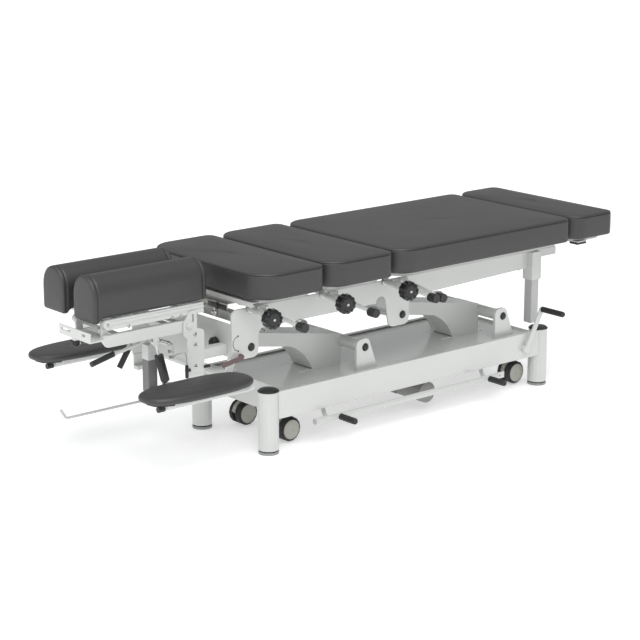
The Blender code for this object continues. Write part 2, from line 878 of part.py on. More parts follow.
# Head end: cross plate with the lock knob's seat, and the armrest sleeve on its gussets
face = frame_head + cross_sheet
cross_plate_top = upper_height + 0.078
frame_welds.append(box((frame_head + gap, -frame_inner - weld, ear_bottom + ear_round / 2),
                       (face, frame_inner + weld, cross_plate_top)))
frame_welds.append(box((second_ear - second_ear_head + plate, -frame_inner - weld,
                        frame_bottom - cross_height),
                       (second_ear - second_ear_head + plate + cross_sheet, frame_inner + weld,
                        cross_bottom)))
sleeve = rod((rest_hinge_x, -rest_sleeve_half, rest_tube_height),
             (rest_hinge_x, rest_sleeve_half, rest_tube_height), rest_sleeve)
frame_welds.append(sleeve)
for side in (-1, 1):
    inner, outer = sorted((side * (rod_hub_half + gap), side * (rod_hub_half + gap + sheet)))
    frame_welds.append(extruded([
        (rest_hinge_x - rest_sleeve * 0.8, rest_tube_height),
        (rod_pivot_x - arm_end, rod_pivot_height + arm_end * 0.4),
        (rod_pivot_x - arm_end * 0.6, rod_pivot_height - arm_end * 0.8),
        (rod_pivot_x + arm_end * 0.6, rod_pivot_height - arm_end * 0.8),
        (rest_hinge_x + rest_sleeve * 0.6, rest_tube_height - rest_sleeve * 0.6)],
        "y", inner, outer))
frame_welds.append(rod((rod_pivot_x, -rod_hub_half - sheet / 2, rod_pivot_height),
                       (rod_pivot_x, rod_hub_half + sheet / 2, rod_pivot_height), lever_pin,
                       small_sides))
gusset_top = ear_bottom + ear_round * 1.4
for side in (-1, 1):
    inner, outer = sorted((side * (frame_inner - arm_end), side * (frame_inner - weld)))
    frame_welds.append(extruded([
        (rest_hinge_x - rest_sleeve * 0.7, rest_tube_height), (frame_head + gap, gusset_top),
        (frame_head + ear_foot * 1.4, gusset_top),
        (rest_hinge_x + rest_sleeve * 0.7, rest_tube_height)], "y", inner, outer))
frame_cuts.append(bore((rest_hinge_x, -rest_sleeve_half - overrun, rest_tube_height),
                       (rest_hinge_x, rest_sleeve_half + overrun, rest_tube_height),
                       rest_tube, sides_of(rest_tube)))
knob_seat = (frame_head, -0.08, upper_height + 0.0125)
frame_cuts.append(bore((knob_seat[0] - overrun, *knob_seat[1:]),
                       (knob_seat[0] + arm_end, *knob_seat[1:]), lever_pin, pin_sides))
grip_seat = (frame_head + grip_in, -frame_outer, ear_bottom + grip_up)
frame_cuts.append(bore((grip_seat[0], -frame_outer - overrun, grip_seat[2]),
                       (grip_seat[0], -frame_inner + overrun, grip_seat[2]), lever_pin,
                       small_sides))
for x in pivots_high:
    frame_cuts.append(bore((x, -frame_outer - overrun, upper_height),
                           (x, frame_outer + overrun, upper_height), pin_radius, pin_sides))
# Tube sleeve of the post, on the near plate only
post_centre = (frame_foot + post_out, -post_side)


def square(half, low, high):
    return box((post_centre[0] - half, post_centre[1] - half, low),
               (post_centre[0] + half, post_centre[1] + half, high))


frame_welds.append(square(post_outer / 2, sleeve_bottom, frame_top))
frame_welds.append(square(post_inner / 2, post_bottom, frame_top - sheet * 3))
frame_cuts.append(square(post_inner / 2 - sheet, post_bottom - overrun, frame_top - sheet))
# Spindle tubes of the tension knobs and clevises of the cocking levers
for section, x in knobs.items():
    root = (x + spindle_skew, -frame_inner, knob_height + spindle_dip)
    frame_welds.append(rod(root, (x, -knob_out, knob_height), spindle_radius, pin_sides))
for name, (low, high) in levers.items():
    for side in (-1, 1) if name != "pelvic_lock" else (1,):
        edge = side * (lever_half + gap)
        inner, outer = sorted((low[0] + edge, low[0] + edge + side * sheet))
        frame_welds.append(extruded([
            (-frame_inner - weld, low[2] - lever_eye), (low[1], low[2] - lever_eye * 0.8),
            (low[1] - lever_eye * 0.8, low[2] - lever_pin / 2),
            (low[1] - lever_eye * 0.8, low[2] + lever_pin / 2), (low[1], low[2] + lever_pin * 1.4),
            (-frame_inner - weld, low[2] + lever_pin)], "x", inner, outer))
    reach = lever_half + sheet / 2
    frame_welds.append(rod((low[0] - reach, low[1], low[2]), (low[0] + reach, low[1], low[2]),
                           lever_pin, small_sides))
piece("upper_frame", "white", [frame_plate(-1)] + frame_welds,
      pivot=(pivots_high[0], 0, upper_height), holder="lift_arm_head", cuts=frame_cuts)
pin("upper_pin_head", pivots_high[0], upper_height, frame_outer, "upper_frame")
pin("upper_pin_foot", pivots_high[1], upper_height, frame_outer, "upper_frame")
seat_x = knob_seat[0] - gap
piece("frame_lock_knob", "black", [turned([
    (0, -0.011), (lever_pin, -0.011), (lever_pin, 0), (0.014, 0), (0.017, 0.003), (0.017, 0.015),
    (0.013, 0.020), (0, 0.021)], (seat_x, *knob_seat[1:]), (-1, 0, 0), pin_sides)],
      pivot=(seat_x, *knob_seat[1:]), holder="upper_frame")


# Drop sections: board, two rails, end members and guide pins
def section_frame(name, head, foot, places, reach):
    low_x, high_x = head + board_inset, foot - board_inset
    width = cushion_half - board_inset
    shapes = [extruded(filleted([(low_x, -width, board_corner), (high_x, -width, board_corner),
                                 (high_x, width, board_corner), (low_x, width, board_corner)],
                                3), "z", board_bottom, board_top)]
    rail_bottom = board_bottom - rail_height
    for side in (-1, 1):
        middle = side * rail_side
        shapes.append(box((low_x + rail_width, middle - rail_width / 2, rail_bottom),
                          (high_x - rail_width, middle + rail_width / 2, board_bottom + sheet)))
    for x in places:
        shapes.append(rod((x, 0, board_bottom + sheet), (x, 0, board_top - guide_reach),
                          guide_radius))
    if reach:
        half = cushion_half * lip_share
        shapes.append(box((low_x - reach, -half, frame_top + drop + gap * 2),
                          (low_x - reach + cross_sheet, half, board_bottom + sheet)))
        shapes.append(box((low_x - reach, -half, board_bottom),
                          (low_x + rail_width, half, board_bottom + sheet)))
    piece(name, "white", shapes, pivot=(head, 0, board_bottom), holder="upper_frame")


section_frame("chest_drop_frame", chest_head, chest_foot, guides_at["chest"], chest_lip)
section_frame("lumbar_drop_frame", chest_foot + cushion_gap, lumbar_foot, guides_at["lumbar"], 0)
section_frame("pelvic_drop_frame", lumbar_foot + cushion_gap, pelvic_foot,
              guides_at["pelvic"], 0)

# Foot section: board on two uprights and two rails that slide in the upper frame
foot_head = table_half - foot_cushion_length
upright = foot_head + board_inset
shapes = [extruded(filleted([
    (foot_head + board_inset, -cushion_half + board_inset, board_corner),
    (table_half - board_inset, -cushion_half + board_inset, board_corner),
    (table_half - board_inset, cushion_half - board_inset, board_corner),
    (foot_head + board_inset, cushion_half - board_inset, board_corner)], 3),
    "z", board_bottom, board_top)]
for side in (-1, 1):
    middle = side * slide_side
    shapes.append(box((slide_cross - slide_cross_run - slide_run_in, middle - slide_size / 2,
                       slide_low),
                      (table_half - board_inset * 2, middle + slide_size / 2, slide_top)))
    for x in (upright + slide_size, table_half - board_inset * 2 - slide_size):
        shapes.append(box((x, middle - slide_size / 2 + sheet, slide_low + sheet),
                          (x + slide_size - sheet, middle + slide_size / 2 - sheet,
                           board_bottom + sheet)))
shapes.append(box((foot_head + latch_in, -cushion_half + latch_side_in, board_bottom - latch_drop),
                  (foot_head + latch_in + latch_length,
                   -cushion_half + latch_side_in + latch_width, board_bottom + sheet)))
piece("foot_slide_frame", "white", shapes, pivot=(foot_head, 0, slide_low), holder="upper_frame")


# Cushions: rounded plan, sides drawn in, a bead at the seam and a crowned top
def plan(half_x, half_y, corners, inset, draw, steps=3):
    """Points of a rounded rectangle whose straight sides are drawn in between its corners.

    corners holds the radius of the two corners at the head end and of the two at the foot end.
    """
    points = []
    x, y = half_x - inset, half_y - inset
    radii = {side: max(corner - inset, corner * 0.1) for side, corner in zip((-1, 1), corners)}
    for sx, sy, start in ((1, -1, -90), (1, 1, 0), (-1, 1, 90), (-1, -1, 180)):
        centre = (sx * (x - radii[sx]), sy * (y - radii[sx]))
        points += arc(centre, radii[sx], start, start + 90, steps)
        ahead = {(-1, -1): (1, -1), (1, -1): (1, 1), (1, 1): (-1, 1), (-1, 1): (-1, -1)}[(sx, sy)]
        away = radii[ahead[0]]
        here, there = points[-1], (ahead[0] * (x - away), ahead[1] * (y - away))
        along_x = sx != ahead[0]
        for share in (0.25, 0.5, 0.75):
            pull = draw * (1 - abs(2 * share - 1) ** 3)
            if along_x:
                a = here[0] + (there[0] - here[0]) * share
                points.append((a, sy * (y - pull)))
            else:
                b = here[1] + (there[1] - here[1]) * share
                points.append((sx * (x - pull), b))
    return points


def cushion(name, head, foot, holder):
    middle, half_x = (head + foot) / 2, (foot - head) / 2
    top = cushion_bottom + cushion_side
    rows = [(cushion_bottom, cushion_edge, 0), (cushion_bottom + cushion_edge, seam_bead, 0.5),
            (cushion_bottom + cushion_side / 2, seam_bead * 2, 1),
            (top - seam_bead * 3, seam_bead, 0.6), (top - seam_bead, 0, 0.4),
            (top + seam_bead / 2, seam_bead, 0.4)]
    rings = []
    for height, inset, draw in rows:
        rings.append([Vector((middle + x, y, height)) for x, y in
                      plan(half_x, cushion_half, (head_corner, foot_corner), inset,
                           cushion_draw * draw)])
    reach = min(half_x, cushion_half)
    for share, rise in ((0.06, 0.48), (0.22, 0.80), (0.70, 1.0)):
        rings.append([Vector((middle + x, y, top + cushion_crown * rise)) for x, y in
                      plan(half_x, cushion_half,
                           [max(corner, reach * share * 0.5)
                            for corner in (head_corner, foot_corner)],
                           reach * share, cushion_draw * 0.3)])
    piece(name, "hide", [lofted(rings)], pivot=(middle, 0, cushion_bottom), holder=holder)


cushion("chest_cushion", chest_head, chest_foot, "chest_drop_frame")
cushion("lumbar_cushion", chest_foot + cushion_gap, lumbar_foot, "lumbar_drop_frame")
cushion("pelvic_cushion", lumbar_foot + cushion_gap, pelvic_foot, "pelvic_drop_frame")
cushion("foot_cushion", foot_head, table_half, "foot_slide_frame")


# Fluted tension knobs on the spindle tubes, and cocking levers with round caps
def knob_outline(radius):
    points = []
    for step in range(knob_flutes * 2):
        turn = math.tau * step / (knob_flutes * 2)
        wave = radius - flute_depth * (step % 2)
        points.append((wave * math.cos(turn), wave * math.sin(turn)))
    return points


for section, x in knobs.items():
    centre = Vector((x, -knob_out, knob_height))
    out = Vector((-spindle_skew, -(knob_out - frame_inner), -spindle_dip)).normalized()
    turn = Vector((0, 0, 1)).rotation_difference(out).to_matrix()
    rings = []
    for radius, along in ((knob_radius * 0.70, -knob_depth / 2), (knob_radius, -knob_depth / 3),
                          (knob_radius, knob_depth * 0.28), (knob_radius * 0.93, knob_depth * 0.42),
                          (knob_radius * 0.74, knob_depth / 2),
                          (knob_radius * 0.66, knob_depth * 0.40)):
        rings.append([centre + turn @ Vector((a, b, along)) for a, b in knob_outline(radius)])
    seat = bore(centre - out * knob_depth, centre + out * gap, spindle_radius, pin_sides)
    piece(f"{section}_tension_knob", "black", [lofted(rings)], pivot=tuple(centre),
          holder="upper_frame", cuts=[seat])

for name, (low, high) in levers.items():
    low, high = Vector(low), Vector(high)
    along = (high - low).normalized()
    half = Vector((lever_half, 0, 0))
    shapes = [rod(low - half, low + half, lever_eye),
              bar(low + along * lever_eye * 0.6, high, lever_width, lever_thickness,
                  (1, lever_lean, 0)),
              rod(high + Vector((0, lever_eye, 0)), high - Vector((0, lever_cap_length, 0)),
                  lever_cap)]
    piece(f"{name}_cocking_lever", "white", shapes, pivot=tuple(low), holder="upper_frame",
          cuts=[bore(low - half * 2, low + half * 2, lever_pin, small_sides)])

# Headpiece carrier: side plates with arc tabs, web, ties to the frame, keel and box post
rail_outer = head_side + head_rail_width / 2
rail_inner = head_side - head_rail_width / 2
cheek_inner = rail_outer + gap * 4
cheek_outer = cheek_inner + side_plate_sheet
web_x = side_plate_foot - side_plate_sheet


def cheek(side):
    inner, outer = sorted((side * cheek_inner, side * cheek_outer))
    outline = filleted([
        (side_plate_foot, side_plate_bottom, 0.004), (side_plate_foot, side_plate_top, 0.012),
        (arc_foot, side_plate_top + 0.008, 0.004), (arc_foot, arc_top, 0.008),
        (arc_foot - 0.020, arc_top, 0.006), (arc_head, tilt_height + 0.012, 0.020),
        (arc_head, side_plate_top - 0.006, 0.006), (side_plate_head, side_plate_top - 0.020),
        (side_plate_head, side_plate_bottom, 0.004)], 3)
    return extruded(outline, "y", inner, outer)


def spring_line(side_y):
    """Foot and eye centre of the gas spring, and its direction square to the pin's radius."""
    top = Vector((spring_top_x, side_y, spring_top_height))
    inward = (Vector((tilt_x, side_y, tilt_height)) - top).normalized()
    along = Vector((-inward.z, 0, inward.x))
    eye = top + inward * spring_offset
    return eye - along * ((eye.z - spring_height) / along.z), eye, along


spring_foot_x = spring_line(0)[0].x
weld_depth = side_plate_sheet / 2
carrier = [cheek(1)]
carrier.append(box((web_x, -cheek_inner - weld_depth, web_bottom),
                   (side_plate_foot - gap, cheek_inner + weld_depth,
                    side_plate_top - head_bar_width)))
for side in (-1, 1):
    inner, outer = sorted((side * tie_side, side * (tie_side + tie_height)))
    carrier.append(box((web_x + weld_depth, inner, tie_bottom),
                       (frame_head, outer, tie_bottom + tie_height)))
    inner, outer = sorted((side * (cheek_inner - overrun), side * (cheek_inner + weld_depth)))
    carrier.append(box((side_plate_head + weld_depth, inner, keel_bottom + weld_depth),
                       (side_plate_foot - weld_depth, outer, side_plate_bottom + weld_depth)))
keel_top = keel_bottom + keel_height / 2
carrier.append(box((keel_head, -head_side - keel_height / 2, keel_bottom),
                   (side_plate_foot - weld_depth, -head_side + keel_height / 2, keel_top)))
carrier.append(box((side_plate_head + weld_depth, head_side - keel_height / 2, keel_bottom),
                   (side_plate_foot - weld_depth, head_side + keel_height / 2, keel_top)))
for edge in (-1, 1):
    inner, outer = sorted((edge * (spring_eye / 2 + gap), edge * (spring_eye / 2 + gap + sheet)))
    carrier.append(box((spring_foot_x - spring_eye, inner - head_side, keel_bottom + weld_depth),
                       (spring_foot_x + spring_eye, outer - head_side,
                        spring_height + spring_eye)))
carrier.append(box((keel_head, -head_side, keel_bottom),
                   (keel_head + keel_height, -post_box_side + post_box / 2, keel_top)))
carrier.append(box((keel_head, -post_box_side - post_box / 2, keel_bottom + weld_depth),
                   (keel_head + post_box, -post_box_side + post_box / 2, post_box_top)))
slot_x = arc_foot - 0.0135
carrier_cuts = [bore((tilt_x, -cheek_outer - overrun, tilt_height),
                     (tilt_x, cheek_outer + overrun, tilt_height), tilt_pin, pin_sides)]
carrier_cuts.append(box((slot_x - 0.003, -cheek_outer - overrun, tilt_height + 0.010),
                        (slot_x + 0.003, cheek_outer + overrun, arc_top - 0.010)))
carrier_cuts.append(bore((spring_foot_x, -rail_outer, spring_height),
                         (spring_foot_x, 0, spring_height), spring_pin, small_sides))
carrier_cuts.append(box((frame_head - gap, -frame_inner, tie_bottom - overrun),
                        (frame_head + overrun, frame_inner, tie_bottom + tie_height + overrun)))
piece("head_carrier", "white", [cheek(-1)] + carrier,
      pivot=(side_plate_foot, 0, side_plate_bottom), holder="upper_frame", cuts=carrier_cuts)

# Tilt frame: two rails with round ends on the tilt axis, cross bars, and a slotted yoke
tilt_top = tilt_height + tilt_rail_depth / 2
tilt_low = tilt_height - tilt_rail_depth / 2


rail_heads = {-1: tilt_rail_head, 1: far_rail_head}


def tilt_rail(side):
    inner, outer = sorted((side * rail_inner, side * rail_outer))
    end = tilt_rail_depth / 2
    outline = (arc((tilt_x, tilt_height), end, -90, 90, 8)
               + arc((rail_heads[side] + end * 0.8, tilt_height + end * 0.2), end * 0.8, 90, 180,
                     5)
               + [(rail_heads[side] + end * 0.9, tilt_low)])
    return extruded(outline, "y", inner, outer)


tilt = [tilt_rail(1)]
bar_mid = head_rail_width / 2
tilt.append(rod((tilt_x, -cheek_outer - gap, tilt_height),
                (tilt_x, cheek_outer + gap, tilt_height), tilt_pin, pin_sides))
for end in (-1, 1):
    tilt.append(turned([(0, 0), (arm_end, 0), (arm_end, sheet), (arm_end * 0.8, plate * 0.7),
                        (0, plate * 0.7)], (tilt_x, end * (cheek_outer + gap), tilt_height),
                       (0, end, 0), 6))
for x in (far_rail_head + sheet, tilt_x - head_bar_width * 1.4):
    tilt.append(box((x, -rail_inner - bar_mid / 2, tilt_low + sheet),
                    (x + head_bar_width * 0.8, rail_inner + bar_mid / 2, tilt_height)))
yoke_head, yoke_foot = clamp_x - yoke_sheet, tilt_rail_head + head_bar_width
yoke_low, yoke_high = -rail_outer, yoke_far_side
yoke_bottom = tilt_height + yoke_rise
tilt.append(box((yoke_head, yoke_low, yoke_bottom),
                (yoke_foot, yoke_high, yoke_bottom + yoke_sheet)))
tilt.append(box((yoke_head, yoke_low, yoke_bottom),
                (yoke_head + yoke_sheet, yoke_high, yoke_bottom + yoke_wall)))
tilt.append(box((yoke_foot - arm_end, yoke_high - head_bar_width / 2, tilt_low + sheet),
                (far_rail_head + arm_end, yoke_high, yoke_bottom + yoke_sheet / 2)))
# Two ears of the drop axle: one beside the near rail, one at the far end of the yoke
ear_top = disc_height + yoke_ear_half
for inner, outer in ((-rail_inner + gap * 2, -rail_inner + gap * 2 + yoke_ear),
                     (yoke_ear_side, yoke_ear_side + yoke_ear)):
    tilt.append(box((disc_x - yoke_ear_half, inner, yoke_bottom + yoke_sheet / 2),
                    (disc_x + yoke_ear_half, outer, ear_top)))
for edge in (-1, 1):
    inner, outer = sorted((edge * (spring_eye / 2 + gap), edge * (spring_eye / 2 + gap + sheet)))
    tilt.append(box((spring_top_x - spring_eye * 0.8, inner - head_side,
                     spring_top_height - spring_pin * 2),
                    (spring_top_x + spring_eye * 0.8, outer - head_side, tilt_low + sheet)))
tilt.append(rod((spring_top_x, -head_side - spring_eye, spring_top_height),
                (spring_top_x, -head_side + spring_eye, spring_top_height), spring_pin))
for hub, side_y in ((release_hub, release_side), (drop_hub, drop_lever_side)):
    tilt.append(rod((hub[0], -rail_inner - weld_depth, hub[1]),
                    (hub[0], -side_y + hub_half + gap, hub[1]), lever_pin, small_sides))
# Nut of the clamp screw under the yoke
nut_low = tilt_height - clamp_nut / 3
tilt.append(box((yoke_head, -clamp_side - clamp_nut, nut_low),
                (clamp_x + clamp_stem + clamp_nut, -clamp_side + clamp_nut,
                 yoke_bottom + yoke_sheet / 2)))
tilt_cuts = [bore((disc_x, -rail_outer, disc_height), (disc_x, rail_outer, disc_height),
                  lever_pin, small_sides)]
tilt_cuts.append(bore((clamp_x + clamp_stem, -clamp_side, clamp_height),
                      (clamp_x + clamp_stem, -clamp_side, nut_low + clamp_thread * 2),
                      clamp_screw, pin_sides))
for low_y, high_y in yoke_slots:
    low_z = yoke_bottom + yoke_wall / 2
    tilt_cuts.append(extruded(filleted([(low_y, low_z, slot_round), (high_y, low_z, slot_round),
                                        (high_y, low_z + yoke_slot, slot_round),
                                        (low_y, low_z + yoke_slot, slot_round)], 1), "x",
                              yoke_head - overrun, yoke_head + yoke_sheet + overrun))
piece("head_tilt_frame", "white", [tilt_rail(-1)] + tilt, pivot=(tilt_x, 0, tilt_height),
      holder="head_carrier", cuts=tilt_cuts)

# Head drop frame: ribbed rails on the disc axle, and the cross slides of the bolsters
drop_top = drop_rail_bottom + drop_rail_depth


def drop_rail(side):
    rib = drop_rail_rib
    low, high = rail_inner + gap, rail_outer
    outline = [(low, drop_rail_bottom), (high, drop_rail_bottom),
               (high, drop_rail_bottom + 0.006), (high - rib, drop_rail_bottom + 0.0075),
               (high - rib, drop_rail_bottom + 0.0125), (high, drop_rail_bottom + 0.014),
               (high, drop_rail_bottom + 0.018), (high - rib, drop_rail_bottom + 0.0195),
               (high - rib, drop_rail_bottom + 0.0235), (high, drop_rail_bottom + 0.025),
               (high, drop_top), (low, drop_top)]
    head = disc_x - overrun if side < 0 else far_rail_head
    return extruded([(side * y, z) for y, z in outline], "x", head, drop_rail_foot)


drop_piece = [drop_rail(1)]
drop_piece.append(rod((disc_x, yoke_ear_side + yoke_ear + overrun, disc_height),
                      (disc_x, -rail_outer - overrun, disc_height), lever_pin, small_sides))
drop_piece.append(rod((disc_x, -rail_inner - gap * 2, disc_height),
                      (disc_x, -rail_outer - overrun, disc_height), disc_radius))
slide_bars = (far_rail_head, side_plate_head)
slide_bar_top = drop_top + overrun
for x in slide_bars:
    drop_piece.append(box((x, -rail_inner - bar_mid / 2, drop_top - slide_bar),
                          (x + head_bar_width, rail_inner + bar_mid / 2, slide_bar_top)))
piece("head_drop_frame", "white", [drop_rail(-1)] + drop_piece,
      pivot=(disc_x, 0, disc_height), holder="head_tilt_frame")

# Bolsters: round topped cushions on boards that slide along the cross bars
for name, side in (("near", -1), ("far", 1)):
    middle = side * (bolster_inner + bolster_width / 2)
    low = slide_bar_top + gap
    shapes = [box((bolster_head + board_inset, middle - bolster_width / 2 + board_in, low),
                  (bolster_foot - board_inset, middle + bolster_width / 2 - board_in,
                   bolster_bottom - gap))]
    for x in slide_bars:
        for edge in (-1, 1):
            inner = x - gap if edge < 0 else x + head_bar_width + gap
            outer = inner + edge * slide_shoe
            shapes.append(box((min(inner, outer), middle - slide_shoe_half,
                               drop_top - slide_bar + overrun),
                              (max(inner, outer), middle + slide_shoe_half, low + sheet / 2)))
    piece(f"bolster_board_{name}", "grey", shapes, pivot=(bolster_head, middle, low),
          holder="head_drop_frame")
    straight = bolster_height * bolster_straight_share
    section = []
    half = bolster_width / 2
    for y in (-0.9, 0, 0.9):
        section.append((y * half, 0))
    section += [(half - 0.001, 0.006), (half, 0.014), (half, straight)]
    for step in range(1, 12):
        turn = math.radians(180 * step / 12)
        section.append((half * math.cos(turn), straight
                        + (bolster_height - straight) * math.sin(turn)))
    section += [(-half, straight), (-half, 0.014), (-half + 0.001, 0.006)]
    rings = []
    length = bolster_foot - bolster_head
    for share, shrink in ((0, 0.955), (0.010, 0.990), (0.036, 1.0), (0.040, 0.985), (0.044, 1.0),
                          (0.053, 1.0), (0.50, 0.992), (0.956, 1.0), (0.960, 0.985), (0.964, 1.0),
                          (0.990, 0.990), (1.0, 0.955)):
        hang = bolster_lip_drop if length * share < bolster_lip else 0
        rings.append([Vector((bolster_head + length * share, middle + y * shrink,
                              bolster_bottom + z * (shrink if z > straight else 1)
                              - hang * max(0, 1 - z / straight)))
                      for y, z in section])
    piece(f"bolster_{name}", "hide", [lofted(rings)], pivot=(bolster_head, middle, bolster_bottom),
          holder=f"bolster_board_{name}")

# Gas spring under the near rail: it lies along the path of its top pin, and the pin takes up
# the rest of its arc in a wide eye
foot, eye_centre, along = spring_line(-head_side)
piece("gas_spring_sleeve", "black",
      [turned([(0, 0), (spring_radius, 0), (spring_radius, spring_sleeve), (0, spring_sleeve)],
              foot + along * spring_neck, along),
       rod(foot - Vector((0, spring_eye / 2, 0)), foot + Vector((0, spring_eye / 2, 0)),
           spring_eye - sheet / 2),
       rod(foot, foot + along * (spring_neck + sheet), spring_eye / 2),
       rod(foot - Vector((0, spring_eye, 0)), foot + Vector((0, spring_eye, 0)), spring_pin,
           small_sides)],
      pivot=tuple(foot), holder="head_carrier",
      cuts=[rod(foot + along * (spring_neck + spring_wall),
                foot + along * (spring_sleeve + spring_neck * 2), spring_rod + gap)])
eye_hole = spring_pin + spring_play
piece("gas_spring_rod", "steel",
      [rod(foot + along * spring_depth, eye_centre - along * eye_hole, spring_rod),
       rod(eye_centre - Vector((0, spring_eye / 2, 0)), eye_centre + Vector((0, spring_eye / 2, 0)),
           eye_hole + sheet)],
      pivot=tuple(foot + along * spring_depth), holder="gas_spring_sleeve",
      cuts=[rod(eye_centre - Vector((0, spring_eye, 0)), eye_centre + Vector((0, spring_eye, 0)),
                eye_hole)])

# Levers of the headpiece on stub pins of the near rail, and the clamp screw under the yoke
def head_lever(name, hub, knee, grip, tip, side_y):
    """A round lever: hub on a stub pin, bend at the knee, black grip to the tip."""
    points = [(hub[0], side_y, hub[1]), (knee[0], side_y, knee[1]), (tip[0], side_y, tip[1])]
    piece(name, "white",
          [swept(bent(points, release_bend), release_radius),
           rod((hub[0], side_y - hub_half, hub[1]), (hub[0], side_y + hub_half, hub[1]),
               arm_end),
           rod((grip[0], side_y, grip[1]), (tip[0], side_y, tip[1]), release_grip)],
          pivot=(hub[0], side_y, hub[1]), holder="head_tilt_frame",
          cuts=[bore((hub[0], side_y - lever_width, hub[1]),
                     (hub[0], side_y + lever_width, hub[1]), lever_pin, small_sides)])


head_lever("head_release_lever", release_hub, release_knee, release_grip_start, release_tip,
           -release_side)
head_lever("head_drop_lever", drop_hub, drop_knee, drop_grip_start, drop_tip, -drop_lever_side)

clamp = Vector((clamp_x, -clamp_side, clamp_height))
piece("head_clamp_handle", "black", [
    rod((clamp_x + clamp_stem, -clamp_side, clamp_height - clamp_hub),
        (clamp_x + clamp_stem, -clamp_side, nut_low - gap), clamp_hub),
    rod((clamp_x + clamp_stem, -clamp_side, clamp_height),
        (clamp_x + clamp_stem, -clamp_side, nut_low + clamp_thread), clamp_screw, pin_sides),
    rod((clamp_x + clamp_stem - clamp_reach, -clamp_side, clamp_height),
        (clamp_x + clamp_stem + clamp_grip, -clamp_side, clamp_height), clamp_bar),
    rod((clamp_x + clamp_stem + clamp_neck, -clamp_side, clamp_height),
        (clamp_x + clamp_stem + clamp_grip, -clamp_side, clamp_height), clamp_grip_radius)],
      pivot=(clamp_x + clamp_stem, -clamp_side, clamp_height), holder="head_tilt_frame")

# Armrests: cranked tube in the cross sleeve, saddle plate, superellipse pad, and release grip
def superellipse(half_x, half_y, power, steps=20):
    points = []
    for step in range(steps):
        turn = math.tau * step / steps
        c, s = math.cos(turn), math.sin(turn)
        points.append((half_x * math.copysign(abs(c) ** (2 / power), c),
                       half_y * math.copysign(abs(s) ** (2 / power), s)))
    return points


pad_bottom = rest_top - rest_thickness
plate_low = pad_bottom - gap - rest_board
for name, side in (("near", -1), ("far", 1)):
    middle = side * rest_side
    path = bent([(rest_tube_head, middle, rest_tube_height),
                 (rest_hinge_x, middle, rest_tube_height),
                 (rest_hinge_x, side * rest_engage, rest_tube_height)], rest_bend, 4)
    shapes = [swept(path, rest_tube),
              extruded(moved(superellipse(rest_length / 2 - board_inset / 2,
                                          rest_width / 2 - board_inset / 2, rest_power),
                             rest_middle, middle), "z", plate_low, pad_bottom - gap)]
    for x in (rest_middle - rest_length / 4, rest_middle + rest_length / 4):
        shapes.append(box((x - rest_clip / 2, middle - rest_tube, rest_tube_height),
                          (x + rest_clip / 2, middle + rest_tube, plate_low + sheet / 2)))
    shapes.append(rod((rest_tube_head - arm_end, middle, rest_tube_height),
                      (rest_tube_head + arm_end, middle, rest_tube_height),
                      rest_tube + cap_lip))
    piece(f"armrest_tube_{name}", "white", shapes,
          pivot=(rest_hinge_x, middle, rest_tube_height), holder="upper_frame")
    rings = []
    for share, inset in ((0, 0.003), (0.2, 0.0), (0.7, 0.001), (0.90, 0.005), (0.97, 0.016),
                         (1.0, 0.050)):
        rings.append([Vector((rest_middle + x, middle + y, pad_bottom + rest_thickness * share))
                      for x, y in superellipse(rest_length / 2 - inset, rest_width / 2 - inset,
                                               rest_power)])
    piece(f"armrest_pad_{name}", "hide", [lofted(rings)],
          pivot=(rest_middle, middle, pad_bottom), holder=f"armrest_tube_{name}")

piece("armrest_release_grip", "mauve", [
    swept(bent([(grip_seat[0], grip_seat[1] - gap, grip_seat[2]),
                (grip_seat[0], grip_seat[1] - grip_out, grip_seat[2]),
                (grip_seat[0] - grip_length, grip_seat[1] - grip_out,
                 grip_seat[2] - grip_fall)], grip_bend), grip_radius),
    rod((grip_seat[0], -frame_inner + overrun, grip_seat[2]),
        (grip_seat[0], grip_seat[1] - grip_out / 2, grip_seat[2]), lever_pin, small_sides)],
      pivot=grip_seat, holder="upper_frame")

